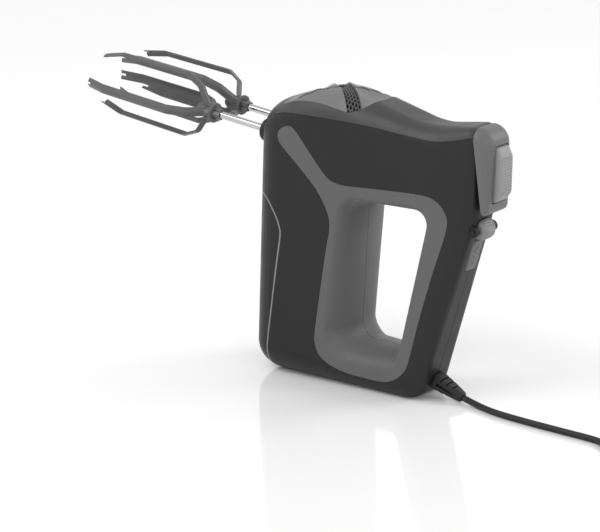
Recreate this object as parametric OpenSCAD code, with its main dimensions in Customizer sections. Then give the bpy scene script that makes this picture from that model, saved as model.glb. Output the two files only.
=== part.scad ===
// Upright hand mixer with a closed loop handle, two interleaving beaters and a mains lead.
// Frame: millimetres, +Z from the heel up to the nose, beaters towards -X, handle towards +X,
// Y = 0 is the joint plane of the two housing halves, origin at the middle of the heel's rest face.

/* [Body] */
// Height of the body from the heel to the ridge line's corner
body_h = 204; // [180:1:230]
// Distance of the front face from the origin, at the heel
front_reach = 68.5; // [62:0.5:76]
// Distance of the handle's upper end from the origin
rear_reach = 106; // [100:0.5:116]
// Half width of the body at the motor
body_half_w = 33; // [31:0.5:38]
// Half width of the body at the upper end of the handle
handle_half_w = 15.5; // [14:0.5:18]
// Wall thickness of the housings
wall = 3; // [2.6:0.1:3.4]
// Thickness of the soft grip inlays
inlay_t = 1.5; // [1:0.1:1.8]
// Gap between neighbouring outer panels
panel_gap = 0.2; // [0.1:0.05:0.4]

/* [Drive] */
// Tilt of the beaters above the horizontal, in degrees
drive_tilt = 6; // [3:0.5:8]
// Distance of each spindle from the middle plane
spindle_y = 15; // [14:0.25:15.5]
// Tooth module of worm and wheels
gear_module = 0.8; // [0.7:0.05:0.85]
// Teeth on each drive wheel
wheel_teeth = 30; // [26:1:31]
// Face width of the drive wheels
wheel_face = 9; // [6:0.5:11]
// Radius of the spindle hubs
hub_r = 5.5; // [5:0.1:6]
// Radius of the rotor core
rotor_r = 12; // [10:0.5:13]
// Length of the rotor and stator stacks
stack_len = 34; // [26:1:38]
// Radius of the cooling fan
fan_r = 20; // [16:0.5:21]

/* [Beaters] */
// Radius of the beater shafts
beater_shaft_r = 2.5; // [2.2:0.1:3]
// Distance from the drive wheels' middle to the head of the beater
beater_reach = 78; // [68:1:90]
// Radius of the cage at its shoulder
cage_r = 22.5; // [18:0.5:24]
// Length of the cage from the head to the tips
cage_len = 99.5; // [84:0.5:115]
// Width of a tine
tine_w = 6.5; // [5:0.5:8]
// Thickness of a tine
tine_t = 2.4; // [1.8:0.1:3]

/* [Controls] */
// Travel of the eject button
eject_travel = 5; // [3:0.5:6]
// Half width of the eject button
eject_half_w = 6.5; // [5:0.25:8]
// Height of the eject button
eject_h = 36; // [28:1:38]
// Radius of the speed selector
dial_r = 7; // [6:0.25:7.5]
// Travel of the turbo button
turbo_travel = 1.5; // [1:0.1:2]
// Half width of the turbo button
turbo_half_w = 6; // [4.5:0.25:7]
// Length of the turbo button
turbo_len = 23; // [16:1:23]

/* [Lead] */
// Diameter of the mains lead
cord_d = 4.2; // [4:0.1:4.6]
// Length of the mains plug's body
plug_len = 34; // [30:0.5:38]

/* [Hidden] */

eps = 0.01;
far = 300;
running = 0.06;            // radial clearance of turning and sliding fits
loose = 0.5;               // clearance round pieces that only pass through

// ---------- outline of the body ----------
mid_x = -45;
top_x = 100;
taper = (body_half_w - handle_half_w) / (top_x - mid_x);
function half_w(x) = body_half_w - (x - mid_x) * taper;

heel_rear = rear_reach - 42.5;
handle_lean = 16.4;
bend_z = 131;
ridge_x = -14;
dip_x = 62;
dip_z = body_h - 19.5;

// Each corner: x, z, radius of the corner, radius of the edge beside it
body_corners = [
  [-front_reach, 0, 15, 14], [-front_reach + 4.5, body_h - 23, 18, 16],
  [ridge_x, body_h, 75, 24], [dip_x, dip_z, 70, 16],
  [rear_reach, body_h - 14.5, 8, 8], [rear_reach - 3, bend_z, 60, 9], [heel_rear, 0, 13, 10]];
bezel_out = 9;
bezel_corners = [
  [rear_reach - 16, body_h - 16.1, 4, 4], [rear_reach + bezel_out, body_h - 14, 9, 6],
  [rear_reach + bezel_out - 3.5, 133, 5, 5], [rear_reach - 16, 131, 4, 4]];

arc_n = 6;
ring_n = 5;
function unit(v) = v / norm(v);
function fillet(p, a, b, r) =
  let (u = unit(a - p), v = unit(b - p), half = acos(u * v) / 2,
       c = p + unit(u + v) * r / sin(half), s = p + u * r / tan(half) - c, e = p + v * r / tan(half) - c,
       turn = 180 - 2 * half)
  [for (k = [0 : arc_n]) c + (s * sin((1 - k / arc_n) * turn) + e * sin(k / arc_n * turn)) / sin(turn)];
function rounded_outline(corners) =
  let (n = len(corners))
  [for (i = [0 : n - 1])
    let (c = corners[i], a = corners[(i + n - 1) % n], b = corners[(i + 1) % n])
    for (q = fillet([c[0], c[1]], [a[0], a[1]], [b[0], b[1]], c[2])) [q[0], q[1], c[3]]];
function inward(points, i) =
  let (n = len(points), a = points[(i + n - 1) % n], b = points[(i + 1) % n],
      d = unit([b[0] - a[0], b[1] - a[1]]))
  [d[1], -d[0]];
// One ring of the pillow: the outline drawn in by the edge's quarter round at angle t
function ring(points, inset, t, side) =
  [for (i = [0 : len(points) - 1])
    let (p = points[i], n = inward(points, i), r = max(p[2] - inset, 1), d = inset + r * (1 - cos(t)),
         x = p[0] + n[0] * d, z = p[1] + n[1] * d)
    [x, side * (half_w(x) - inset - r * (1 - sin(t))), z]];

// Closed form with flat tapering sides and rounded edges, drawn in by inset all round
module pillow(corners, inset = 0, steps = ring_n) {
  outline = rounded_outline(corners);
  n = len(outline);
  rings = concat([for (k = [steps : -1 : 0]) ring(outline, inset, 90 * k / steps, -1)],
                 [for (k = [0 : steps]) ring(outline, inset, 90 * k / steps, 1)]);
  count = len(rings);
  polyhedron(
    points = [for (r = rings) each r],
    faces = concat(
      [[for (i = [0 : n - 1]) i]],
      [for (k = [0 : count - 2]) for (i = [0 : n - 1])
        each [[k * n + i, (k + 1) * n + i, (k + 1) * n + (i + 1) % n],
              [k * n + i, (k + 1) * n + (i + 1) % n, k * n + (i + 1) % n]]],
      [[for (i = [n - 1 : -1 : 0]) (count - 1) * n + i]]));
}

// Draws a flat X-Z shape across the whole width
module across(w = far) rotate([90, 0, 0]) linear_extrude(w, center = true) children();
module left_side() translate([-far, -far, -far]) cube([2 * far, far, 2 * far]);
module right_side() translate([-far, 0, -far]) cube([2 * far, far, 2 * far]);

// ---------- panels on the body ----------
seam_z = body_h - 21.5;
module top_region() polygon([
  [-47, body_h - 25], [-34, seam_z], [-5, seam_z], [28, seam_z - 1.5], [52, seam_z - 4], [71, seam_z - 5.5],
  [86, seam_z - 3.5], [101.5, seam_z + 0.5], [101, body_h + 20], [-44.5, body_h + 20],
      [-44.5, body_h - 19]]);
module bezel_region() polygon([
  [rear_reach - 5, body_h + 20], [rear_reach - 4.6, 182], [rear_reach + 1.8, 136],
      [rear_reach + 2.4, 131.5],
  [rear_reach + 40, 131.5], [rear_reach + 40, body_h + 20]]);
module front_region() polygon([
  [-far, 124.5], [-54, 124.5], [-49, 121], [-43, 112.5], [-39.6, 104.5], [-39.6, 98.5], [-45.8, 52],
  [-49.4, 25], [-51.2, 4.5], [-51.2, -20], [-far, -20]]);
nose_half_w = 24;
nose_low = 140;
module nose_region() polygon([[-far, nose_low], [-44.5, nose_low], [-44.5, body_h + 20],
    [-far, body_h + 20]]);
module inlay_region() offset(3) offset(-3) polygon([
  [-40.5, 166], [-39, 171.5], [-33, 174.5], [-27, 172], [-3, 143.5], [8, 140], [20, 140.5], [61, 141.5],
      [77, 139],
  [83, 132], [84.5, 123], [75, 90], [66, 57.5], [58.5, 27], [55, 19], [48, 13], [39, 9.5], [12, 11],
      [0, 14.5],
  [-8.5, 20], [-12, 28], [-12, 37], [-7.6, 69], [-3.5, 96], [-1.5, 108], [-1.5, 117], [-11, 136],
      [-38, 161]]);

// Finger opening: at the middle plane, and its wider mouth on the sides
module opening_mid() offset(9) offset(-9) polygon([[12, 130], [7.5, 38], [12, 30], [46, 30], [68, 130]]);
module opening_mouth() offset(9) offset(-9) polygon([[4, 130], [-3, 34], [4, 20], [44, 20], [68, 130]]);
mouth_depth = 7;
module opening_cut(grow) {
  across() offset(grow) opening_mid();
  for (side = [-1, 1]) hull() {
    translate([0, side * 31, 0]) across(2) offset(grow) opening_mouth();
    translate([0, side * mouth_depth, 0]) across(2) offset(grow) opening_mid();
  }
}

module skin(depth) difference() {
  pillow(body_corners);
  pillow(body_corners, depth, 3);
}
module panel(depth = wall, grow = -panel_gap / 2) intersection() {
  skin(depth);
  across() offset(grow) children();
}

// Everything over a region, down to a depth below the surface
module recess(depth) difference() {
  across() offset(panel_gap / 2) children();
  pillow(body_corners, depth, 3);
}

// ---------- housing halves ----------
// Screws through the housings: x, z
screw_spots = [[-40, 14], [-22, 15], [12, 149], [66.5, 37], [86, 168]];
screw_seat = 13;
screw_tip = 8;
screw_r = 1.5;
screw_head_r = 2.8;
boss_r = 4;
relief_x = 66;
relief_z = 12.4;
relief_drop = 21;
relief_neck_r = 4;
dial_x = rear_reach - 5.2;
dial_z = 121;
notch_r = dial_r + 1.6;
turbo_back = 2.7;           // the turbo key's back face below the handle's rear face
turbo_stop_gap = 0.3;

module at_screws() for (s = screw_spots) translate([s[0], 0, s[1]]) children();
module along_y(h, r, r2) rotate([90, 0, 0]) cylinder(h = h, r1 = r, r2 = r2 == undef ? r : r2,
    center = true, $fn = 24);
module relief_frame() translate([relief_x, 0, relief_z]) rotate([0, 90 + relief_drop, 0]) children();
module handle_frame() translate([rear_reach - 13, 0, 100]) rotate([0, handle_lean, 0]) children();
module drive_frame() translate([-33, 0, 161.5]) rotate([0, drive_tilt, 0]) children();

rib_xs = [for (k = [0 : 7]) -44 + 12.5 * k];
module inner_ribs(side) for (x = rib_xs) hull() {
  translate([x, side * (half_w(x) - wall - 0.2), 5]) cube([1.4, 1.4, 4], center = true);
  translate([x, side * (half_w(x) - 9), 3.4]) cube([1.4, 1.4, 1.4], center = true);
}
module housing(side) difference() {
  intersection() {
    union() {
      skin(wall);
      intersection() { pillow(body_corners, inlay_t + 0.4, 3); opening_cut(wall); }
      intersection() { pillow(body_corners, inlay_t + 0.7, 3); at_screws() along_y(far, boss_r); }
      intersection() { pillow(body_corners, inlay_t + 0.7, 3); drive_frame() spring_seat(); }
      inner_ribs(side);
    }
    if (side < 0) left_side(); else right_side();
  }
  opening_cut(inlay_t);
  recess(inlay_t) inlay_region();
  across() offset(panel_gap / 2) top_region();
  across() offset(panel_gap / 2) bezel_region();
  recess(wall + 2) front_region();
  recess(trim_t) trim_region();
  nose_opening();
  at_screws() translate([0, far / 2 - screw_tip, 0]) along_y(far, screw_r + 0.1);
  at_screws() translate([0, far / 2 + screw_seat, 0]) along_y(far, screw_head_r + 0.3);
  translate([dial_x, 0, dial_z]) along_y(far, notch_r);
  handle_frame() translate([0, 0, 3])
    cube([2 * (turbo_back + turbo_travel + turbo_stop_gap), 2 * turbo_half_w + 2 * loose, turbo_len + 2 * loose],
        center = true);
  relief_frame() cylinder(h = 30, r = relief_neck_r + 0.1, center = true, $fn = 32);
  eject_window(1);
  drive_frame() {
    along_drive(spring_x, rod_end, spring_r + 1.2);
    translate([spring_x - 10, -rod_half_w - loose, -rod_half_h - loose])
        cube([20, 2 * (rod_half_w + loose), 2 * (rod_half_h + loose)]);
  }
}
// Cross wall that the eject spring stands on
module spring_seat() translate([spring_x - 3, -30, -7]) cube([3, 60, 14]);
module left_housing() color([0.17, 0.17, 0.18]) housing(-1);
module right_housing() color([0.17, 0.17, 0.18]) housing(1);

// Snap clips on both sides, each from a root under its panel to a tip under the neighbour: root, tip, inset
module edge_clips(spots) for (c = spots) for (side = [-1, 1]) hull() {
  translate([c[0][0], side * (half_w(c[0][0]) - wall - c[2]), c[0][1]]) cube([3, 1.2, 3], center = true);
  translate([c[1][0], side * (half_w(c[1][0]) - wall - 2.2 - c[2]), c[1][1]])
      cube([3, 0.8, 3], center = true);
}

// ---------- outer panels ----------
leaf_x = -7;
leaf_len = 88;
leaf_half_w = 22;
leaf_r = (leaf_len * leaf_len / 4 + leaf_half_w * leaf_half_w) / (2 * leaf_half_w);
mesh_t = 1.2;
module leaf(grow = 0) offset(grow) intersection() {
  translate([leaf_x, leaf_r - leaf_half_w]) circle(r = leaf_r, $fn = 120);
  translate([leaf_x, leaf_half_w - leaf_r]) circle(r = leaf_r, $fn = 120);
}
band_w = 9;
band_len = 48;
band_turn = 38;
module vent_bands(grow = 0) offset(grow) translate([leaf_x, -4]) {
  rotate(180 - band_turn) square([band_len, band_w], center = true);
  rotate(band_turn / 3) intersection() {
    translate([0, 60]) circle(r = 62, $fn = 96);
    translate([0, -60]) circle(r = 62, $fn = 96);
  }
}
module upright() translate([0, 0, seam_z - 10]) linear_extrude(60) children();
module nose_opening() across(2 * nose_half_w + panel_gap) offset(panel_gap / 2) nose_region();
module top_cover() color([0.33, 0.33, 0.34]) {
  difference() {
    panel() top_region();
    upright() leaf(panel_gap / 2);
    nose_opening();
  }
  edge_clips([for (x = [-26, -4, 18, 40]) let (z = seam_z - (x > 10 ? (x - 10) / 12 : 0))
    [[x, z + 4], [x, z - 3], abs(x) > 20 ? 2.8 : 2.1]]);
}
module vent_slots() translate([leaf_x, -4]) {
  for (k = [-3 : 3]) rotate(180 - band_turn) hull() for (y = [-3, 3]) translate([6 * k, y])
      circle(r = 0.8, $fn = 8);
  for (x = [-16, 16]) rotate(band_turn / 3) hull() for (dx = [-3, 3]) translate([x + dx, 0])
      circle(r = 0.6, $fn = 8);
}
mesh_depth = wall - mesh_t;
module vent_insert() color([0.5, 0.5, 0.51]) difference() {
  intersection() { skin(wall); upright() leaf(-panel_gap / 2); }
  difference() { upright() vent_bands(); pillow(body_corners, mesh_depth); }
  upright() vent_slots();
  nose_opening();
}
module vent_mesh() color([0.1, 0.1, 0.1]) difference() {
  intersection() {
    pillow(body_corners, mesh_depth - 1);
    upright() intersection() { vent_bands(-0.1); leaf(-1.2); }
  }
  pillow(body_corners, mesh_depth);
  upright() vent_slots();
  nose_opening();
}

port_x = -29.5;            // along the drive frame, to the middle of the nose wall
port_r = 8;
module at_spindles() for (side = [-1, 1]) translate([0, side * spindle_y, 0]) children();
// A cylinder along the drive axis, from a to b
module along_drive(a, b, r) translate([a, 0, 0]) rotate([0, 90, 0]) cylinder(h = b - a, r = r, $fn = 48);
module nose_plate() color([0.24, 0.24, 0.25]) difference() {
  union() {
    intersection() {
      skin(wall);
      across(2 * nose_half_w - panel_gap) offset(-panel_gap / 2) nose_region();
    }
    for (k = [0 : 7]) hull() {
      translate([wall - front_reach + 4.6, 6 * k - 21, 150]) cube([2, 1.2, 4], center = true);
      translate([wall - front_reach + 4, 6 * k - 21, 144]) cube([1, 1.2, 1], center = true);
    }
  }
  drive_frame() at_spindles() along_drive(port_x - 12, port_x + 12, port_r + 0.05);
}
module port_collars() color([0.12, 0.12, 0.12]) drive_frame() at_spindles() difference() {
  along_drive(port_x - 4.6, port_x + 3, port_r);
  along_drive(port_x - 6, port_x + 5, 5.1);
}
module front_cover() color([0.15, 0.15, 0.16]) {
  panel() front_region();
  edge_clips([for (e = [[-48.2, 34], [-44.7, 60], [-41.5, 84], [-41.1, 108]])
    [[e[0] - 5, e[1]], [e[0] + 4, e[1]], 0]]);
}
trim_w = 1;
trim_t = 1;
trim_start = -58;
trim_end = 3;
module trim_region() difference() {
  offset(trim_w) front_region();
  front_region();
  translate([trim_start - far, -far]) square([far, 2 * far]);
  translate([-far, trim_end - far]) square([2 * far, far]);
}
module trim_strip(side) intersection() {
  skin(trim_t);
  across() offset(-panel_gap / 4) trim_region();
  if (side < 0) left_side(); else right_side();
}
module left_trim_strip() color([0.45, 0.45, 0.46]) trim_strip(-1);
module right_trim_strip() color([0.45, 0.45, 0.46]) trim_strip(1);

// Drawn for the right half, and mirrored for the left
module grip_inlay() difference() {
  intersection() {
    union() {
      panel(inlay_t) inlay_region();
      intersection() { pillow(body_corners); opening_cut(inlay_t); }
    }
    right_side();
  }
  opening_cut(0);
  for (k = [0 : 7]) hull() {          // venting grooves on the hidden back face
    translate([-6, half_w(-6) - inlay_t, 60 + 5 * k]) cube([3, 0.4, 0.6], center = true);
    translate([-1, half_w(-1) - inlay_t, 60 + 5 * k]) cube([3, 0.4, 0.6], center = true);
  }
}
module left_grip_inlay() color([0.42, 0.42, 0.43]) mirror([0, 1, 0]) grip_inlay();
module right_grip_inlay() color([0.42, 0.42, 0.43]) grip_inlay();

eject_x = rear_reach + 2;
eject_z = 159;
module eject_window(grow) translate([eject_x, 0, eject_z])
    cube([30, 2 * (eject_half_w + grow), eject_h + 2 * grow], center = true);
module control_bezel() color([0.44, 0.44, 0.45]) difference() {
  union() {
    intersection() {
      difference() { pillow(bezel_corners); pillow(bezel_corners, wall - 1, 3); }
      across() offset(-panel_gap / 2) bezel_region();
    }
    for (k = [0 : 7]) hull() {
      translate([rear_reach + 5, 10.2, 140 + 5.5 * k]) cube([3, 1, 1.2], center = true);
      translate([rear_reach + 5, 11.4, 140 + 5.5 * k]) cube([3, 1, 1.2], center = true);
    }
  }
  eject_window(eject_gap);
  translate([dial_x, 0, dial_z]) along_y(far, notch_r);
}
eject_gap = 0.8;

// ---------- drive: screws, frame, gears ----------
module screw(length, r, head_r, head_h = 1.8) {
  cylinder(h = length, r = r, $fn = 24);
  translate([0, 0, -head_h]) difference() {
    cylinder(h = head_h, r = head_r, $fn = 32);
    for (a = [0, 90]) rotate(a) translate([-head_r * 0.7, -0.35, -eps]) cube([head_r * 1.4, 0.7, 0.9]);
  }
}
module housing_screws() color([0.75, 0.75, 0.77]) at_screws() translate([0, 14, 0]) rotate([90, 0, 0])
    screw(20, screw_r, screw_head_r);

frame_x0 = 9;              // plates of the gearbox frame, from here
frame_t = 3;               // and this thick
frame_half_w = 26.2;
shaft_r = 2;
centre_r = gear_module * wheel_teeth / 2;
worm_pitch_r = spindle_y - centre_r;
module frame_plate(x) difference() {
  translate([x, -frame_half_w, -15]) cube([frame_t, 2 * frame_half_w, 31]);
  at_spindles() along_drive(x - 1, x + frame_t + 1, hub_r + running);
}
bush_r = 4.5;
module gearbox_frame() color([0.62, 0.62, 0.64]) drive_frame() difference() {
  union() {
    frame_plate(-frame_x0 - frame_t);
    frame_plate(frame_x0);
    translate([-frame_x0 - eps, -7, 12.4]) cube([2 * frame_x0 + 2 * eps, 14, 3.6]);
    for (y = [-23.5, 23.5]) translate([-frame_x0 - eps, y - 3, -19]) cube([2 * frame_x0 + 2 * eps, 6, 4.6]);
    for (x = [-frame_x0 - frame_t, frame_x0], y = [-26.5, 20.5]) translate([x, y, -19])
        cube([frame_t, 6, 5]);
  }
  cylinder(h = 60, r = bush_r, center = true, $fn = 48);
  for (side = [-1, 1]) translate([0, side * 23.5, -20]) cylinder(h = 7, r = screw_r + 0.05, $fn = 24);
}
module gearbox_screws() color([0.75, 0.75, 0.77]) drive_frame() for (side = [-1, 1])
  translate([0, side * 23.5, bracket_z]) screw(7, screw_r, 2.6);

// Straight-sided teeth: the flank narrows from root to tip
module wheel_profile() {
  tip = centre_r + 0.8 * gear_module;
  root = centre_r - 1.15 * gear_module;
  pitch = 360 / wheel_teeth;
  polygon([for (k = [0 : wheel_teeth - 1]) each [
    root * dir((k - 0.32) * pitch), tip * dir((k - 0.11) * pitch),
    tip * dir((k + 0.11) * pitch), root * dir((k + 0.32) * pitch)]]);
}
function dir(a) = [cos(a), sin(a)];
worm_starts = 2;
worm_lead = worm_starts * PI * gear_module;
wheel_twist = wheel_face * worm_lead / (2 * PI * worm_pitch_r) / centre_r * 180 / PI;
hub_front = -20;
hub_rear = 14;
slot_half_w = 0.8;
slot_r = 4.3;
module drive_gear(side) drive_frame() translate([0, side * spindle_y, 0]) {
  difference() {
    union() {
      rotate([0, 90, 0]) rotate(side * 90 + 180 / wheel_teeth - wheel_twist / 2) difference() {
        linear_extrude(wheel_face, center = true, twist = -wheel_twist, slices = 2) wheel_profile();
        cylinder(h = wheel_face + 2, r = hub_r - 0.4, center = true, $fn = 48);
      }
      along_drive(hub_front, hub_rear, hub_r);
    }
    along_drive(hub_front - 1, hub_rear + 1, beater_shaft_r + running);
    translate([hub_front - 1, -slot_half_w, -slot_r])
        cube([1 - hub_front - 1, 2 * slot_half_w, 2 * slot_r]);
  }
}
module left_drive_gear() color([0.88, 0.87, 0.82]) drive_gear(-1);
module right_drive_gear() color([0.88, 0.87, 0.82]) drive_gear(1);
module spindle_clip(side) drive_frame() translate([0, side * spindle_y, 0]) difference() {
  along_drive(hub_front + 2, hub_front + 3.2, hub_r + 1.6);
  along_drive(hub_front, hub_front + 5, hub_r);
  translate([hub_front, -1, 0]) cube([5, 2, 20]);
}
module left_spindle_clip() color([0.75, 0.75, 0.77]) spindle_clip(-1);
module right_spindle_clip() color([0.75, 0.75, 0.77]) spindle_clip(1);

// ---------- motor, hanging below the gears on the drive frame's own Z ----------
stack_top = -48;
shaft_top = 16.5;
fan_z = -37;
comm_z = stack_top - stack_len - 15;
shaft_end = comm_z - 14;
worm_half = 7;
worm_twist = 360 * 2 * worm_half / worm_lead;
module motor_shaft() color([0.7, 0.7, 0.72]) drive_frame() {
  difference() {
    translate([0, 0, shaft_end]) cylinder(h = shaft_top - shaft_end, r = shaft_r, $fn = 48);
    translate([0, 0, -worm_half + 0.5]) cylinder(h = 2 * worm_half - 1, r = 9, $fn = 48);
  }
  linear_extrude(2 * worm_half, center = true, twist = -worm_twist, slices = 40)
    rotate(90 - worm_twist / 2) worm_profile();
}
module worm_profile() {
  root = worm_pitch_r - 1.1 * gear_module;
  tip = worm_pitch_r + 0.75 * gear_module;
  polygon([for (k = [0 : worm_starts - 1], q = [[-75, root], [-42, root], [-17, tip], [17, tip], [42,
      root], [75, root]])
    q[1] * dir(k * 180 + q[0])]);
}
module rotor_core() color([0.45, 0.45, 0.47]) drive_frame() translate([0, 0, stack_top - stack_len])
    difference() {
  cylinder(h = stack_len, r = rotor_r, $fn = 64);
  translate([0, 0, -1]) cylinder(h = stack_len + 2, r = shaft_r, $fn = 48);
  for (k = [0 : 11]) rotate(30 * k) translate([rotor_r - 3.6, -1.1, -1]) cube([8, 2.2, stack_len + 2]);
}
module rotor_windings() color([0.72, 0.42, 0.2]) drive_frame() {
  for (k = [0 : 11]) rotate(30 * k) translate([rotor_r - 3.4, -0.9, stack_top - stack_len - 0.5])
      cube([2.4, 1.8, stack_len + 1]);
  for (z = [stack_top, stack_top - stack_len - 6]) translate([0, 0, z]) difference() {
    cylinder(h = 6, r = rotor_r - 1, $fn = 64);
    translate([0, 0, -1]) cylinder(h = 8, r = shaft_r + 1.2, $fn = 48);
  }
}
module commutator() color([0.8, 0.5, 0.25]) drive_frame() translate([0, 0, comm_z]) difference() {
  cylinder(h = 8, r = 7, $fn = 64);
  translate([0, 0, -1]) cylinder(h = 10, r = shaft_r, $fn = 48);
  for (k = [0 : 11]) rotate(30 * k) translate([5.8, -0.2, 1]) cube([3, 0.4, 8]);
}
module cooling_fan() color([0.85, 0.85, 0.83]) drive_frame() translate([0, 0, fan_z]) difference() {
  union() {
    cylinder(h = 1.6, r = fan_r, $fn = 96);
    cylinder(h = 9, r = 5, $fn = 48);
    for (k = [0 : 10]) rotate(360 / 11 * k) translate([6, -0.6, 1.5]) rotate(12)
        cube([fan_r - 7.5, 1.2, 7]);
  }
  translate([0, 0, -1]) cylinder(h = 12, r = shaft_r, $fn = 48);
}

stator_half_x = 19;
stator_half_y = 24;
air_gap = 0.6;
module stator_core() color([0.5, 0.5, 0.52]) drive_frame() translate([0, 0, stack_top - stack_len])
    difference() {
  linear_extrude(stack_len) offset(4) square([2 * stator_half_x - 8, 2 * stator_half_y - 8], center = true);
  translate([0, 0, -1]) cylinder(h = stack_len + 2, r = rotor_r + air_gap, $fn = 64);
  for (s = [-1, 1]) for (a = [-1, 1]) translate([a * 11 - 4, s * 14.5 - 3.5, -1])
      cube([8, 7, stack_len + 2]);
  for (a = [-1, 1], s = [-1, 1]) translate([a * (stator_half_x - 3), s * (stator_half_y - 3), -1])
    cylinder(h = stack_len + 2, r = screw_r + 0.05, $fn = 24);
}
module field_coils() color([0.75, 0.45, 0.22]) drive_frame() for (s = [-1, 1]) for (a = [-1, 1]) union() {
  translate([a * 11 - 3.6, s * 14.5 - 3.1, stack_top - stack_len - 4]) cube([7.2, 6.2, stack_len + 8]);
}
motor_bush_h = 5;
module motor_bushes() color([0.72, 0.55, 0.3]) drive_frame() for (z = [11.2, shaft_end + 1])
    translate([0, 0, z]) difference() {
  cylinder(h = z > 0 ? 4.8 : motor_bush_h, r = bush_r, $fn = 48);
  translate([0, 0, -1]) cylinder(h = 10, r = shaft_r + running, $fn = 48);
}
bracket_z = -21.4;
module upper_motor_bracket() color([0.6, 0.6, 0.62]) drive_frame() difference() {
  union() {
    translate([-7, -26.5, bracket_z]) cube([14, 53, 2.4]);
    for (s = [-1, 1]) translate([-7, s * 24 - 2.5, stack_top + 2])
        cube([14, 5, bracket_z - stack_top - 1.9]);
    for (s = [-1, 1]) translate([-stator_half_x, s * 22.5 - 4, stack_top])
        cube([2 * stator_half_x, 8, 2.1]);
  }
  translate([0, 0, bracket_z - 1]) cylinder(h = 5, r = shaft_r + 1.5, $fn = 48);
  for (side = [-1, 1]) translate([0, side * 23.5, bracket_z - 4])
      cylinder(h = 8, r = screw_r + 0.05, $fn = 24);
  for (side = [-1, 1]) translate([0, side * 23.5, bracket_z - 8]) cylinder(h = 8, r = 3, $fn = 24);
  for (a = [-1, 1], s = [-1, 1]) translate([a * (stator_half_x - 3), s * (stator_half_y - 3),
      stack_top - 1])
    cylinder(h = 4, r = screw_r + 0.05, $fn = 24);
}
module lower_motor_bracket() color([0.6, 0.6, 0.62]) drive_frame() difference() {
  union() {
    translate([-9, -25, shaft_end + 1]) cube([18, 50, motor_bush_h]);
    for (s = [-1, 1]) translate([-9, s * 23.5 - 1.5, shaft_end + 1])
        cube([18, 3, stack_top - stack_len - shaft_end - 1]);
    for (s = [-1, 1]) translate([-stator_half_x, s * 22 - 3, stack_top - stack_len - 2.4])
        cube([2 * stator_half_x, 6, 2.4]);
    translate([-17, -3.4, shaft_end + 1]) cube([34, 6.8, motor_bush_h]);
    for (a = [-1, 1]) translate([a * 14 - 3, -3.4, shaft_end + 1])
        cube([6, 6.8, brush_mid - 5 - shaft_end]);
  }
  translate([0, 0, shaft_end]) cylinder(h = 10, r = bush_r, $fn = 48);
  for (a = [-1, 1], s = [-1, 1]) translate([a * (stator_half_x - 3), s * (stator_half_y - 3),
      stack_top - stack_len - 4])
    cylinder(h = 6, r = screw_r + 0.05, $fn = 24);
}
module motor_screws() color([0.75, 0.75, 0.77]) drive_frame() for (a = [-1, 1], s = [-1, 1])
  translate([a * (stator_half_x - 3), s * (stator_half_y - 3), stack_top - stack_len - 2.4])
      screw(stack_len + 4.5, screw_r, 2.6);

brush_mid = comm_z + 4;
module at_brushes() drive_frame() for (a = [0, 180]) rotate(a) translate([0, 0, brush_mid]) children();
module brush_holders() color([0.7, 0.58, 0.3]) at_brushes() difference() {
  translate([8.4, -3.4, -4]) cube([11, 6.8, 8]);
  translate([8, -2.3, -2.8]) cube([10.4, 4.6, 5.6]);
}
module carbon_brushes() color([0.12, 0.12, 0.12]) at_brushes() translate([7.05, -2.2, -2.7])
    cube([7, 4.4, 5.4]);
module brush_springs() color([0.8, 0.8, 0.8]) at_brushes() for (k = [0 : 2])
    translate([14.6 + 1.5 * k, 0, 0])
  rotate([0, 90, 0]) rotate_extrude($fn = 32) translate([1.7, 0]) circle(r = 0.35, $fn = 16);

// ---------- beaters ----------
shaft_inner = 6;
head_len = 12;
head_r = 5;
tip_r = cage_r - 5.5;
shoulder_x = 24;
lug_half_w = 0.55;
lug_r = 3.9;
module beater_frame(side) drive_frame() translate([0, side * spindle_y, 0]) children();
module beater_shaft(side) beater_frame(side) {
  along_drive(-beater_reach - head_len + 2, shaft_inner, beater_shaft_r);
  for (a = [-1, 1]) translate([-9, -lug_half_w, a > 0 ? beater_shaft_r - 0.4 : -lug_r])
      cube([6, 2 * lug_half_w, lug_r - beater_shaft_r + 0.4]);
}
// Centre line of a tine: distance beyond the head, distance from the axis
tine_line = [[-head_len + 8, 3.2], [3, 7], [shoulder_x - 5, cage_r - 1.8], [shoulder_x, cage_r],
             [cage_len - 16, cage_r - 2.6], [cage_len - 10, cage_r - 3.4], [cage_len, tip_r]];
module tine() {
  n = len(tine_line);
  outer = [for (i = [0 : n - 1]) tine_line[i] + tine_side(i) * tine_t / 2];
  inner = [for (i = [n - 1 : -1 : 0]) tine_line[i] - tine_side(i) * tine_t / 2];
  rotate([90, 0, 0]) linear_extrude(tine_w, center = true)
      polygon([for (q = concat(outer, inner)) [-beater_reach - q[0], q[1]]]);
}
function tine_side(i) = let (n = len(tine_line),
    d = unit(tine_line[min(i + 1, n - 1)] - tine_line[max(i - 1, 0)])) [-d[1], d[0]];
module beater_head(side) beater_frame(side) difference() {
  union() {
    along_drive(-beater_reach - head_len, -beater_reach + 3, head_r);
    along_drive(-beater_reach + 1, -beater_reach + 3, head_r + 2);
    for (k = [0 : 3]) rotate([90 * k + (side > 0 ? 45 : 0), 0, 0]) tine();
  }
  along_drive(-beater_reach - head_len + 2, -beater_reach + 5, beater_shaft_r);
}
module left_beater_shaft() color([0.85, 0.85, 0.87]) beater_shaft(-1);
module right_beater_shaft() color([0.85, 0.85, 0.87]) beater_shaft(1);
module left_beater_head() color([0.42, 0.42, 0.43]) beater_head(-1);
module right_beater_head() color([0.42, 0.42, 0.43]) beater_head(1);

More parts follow.
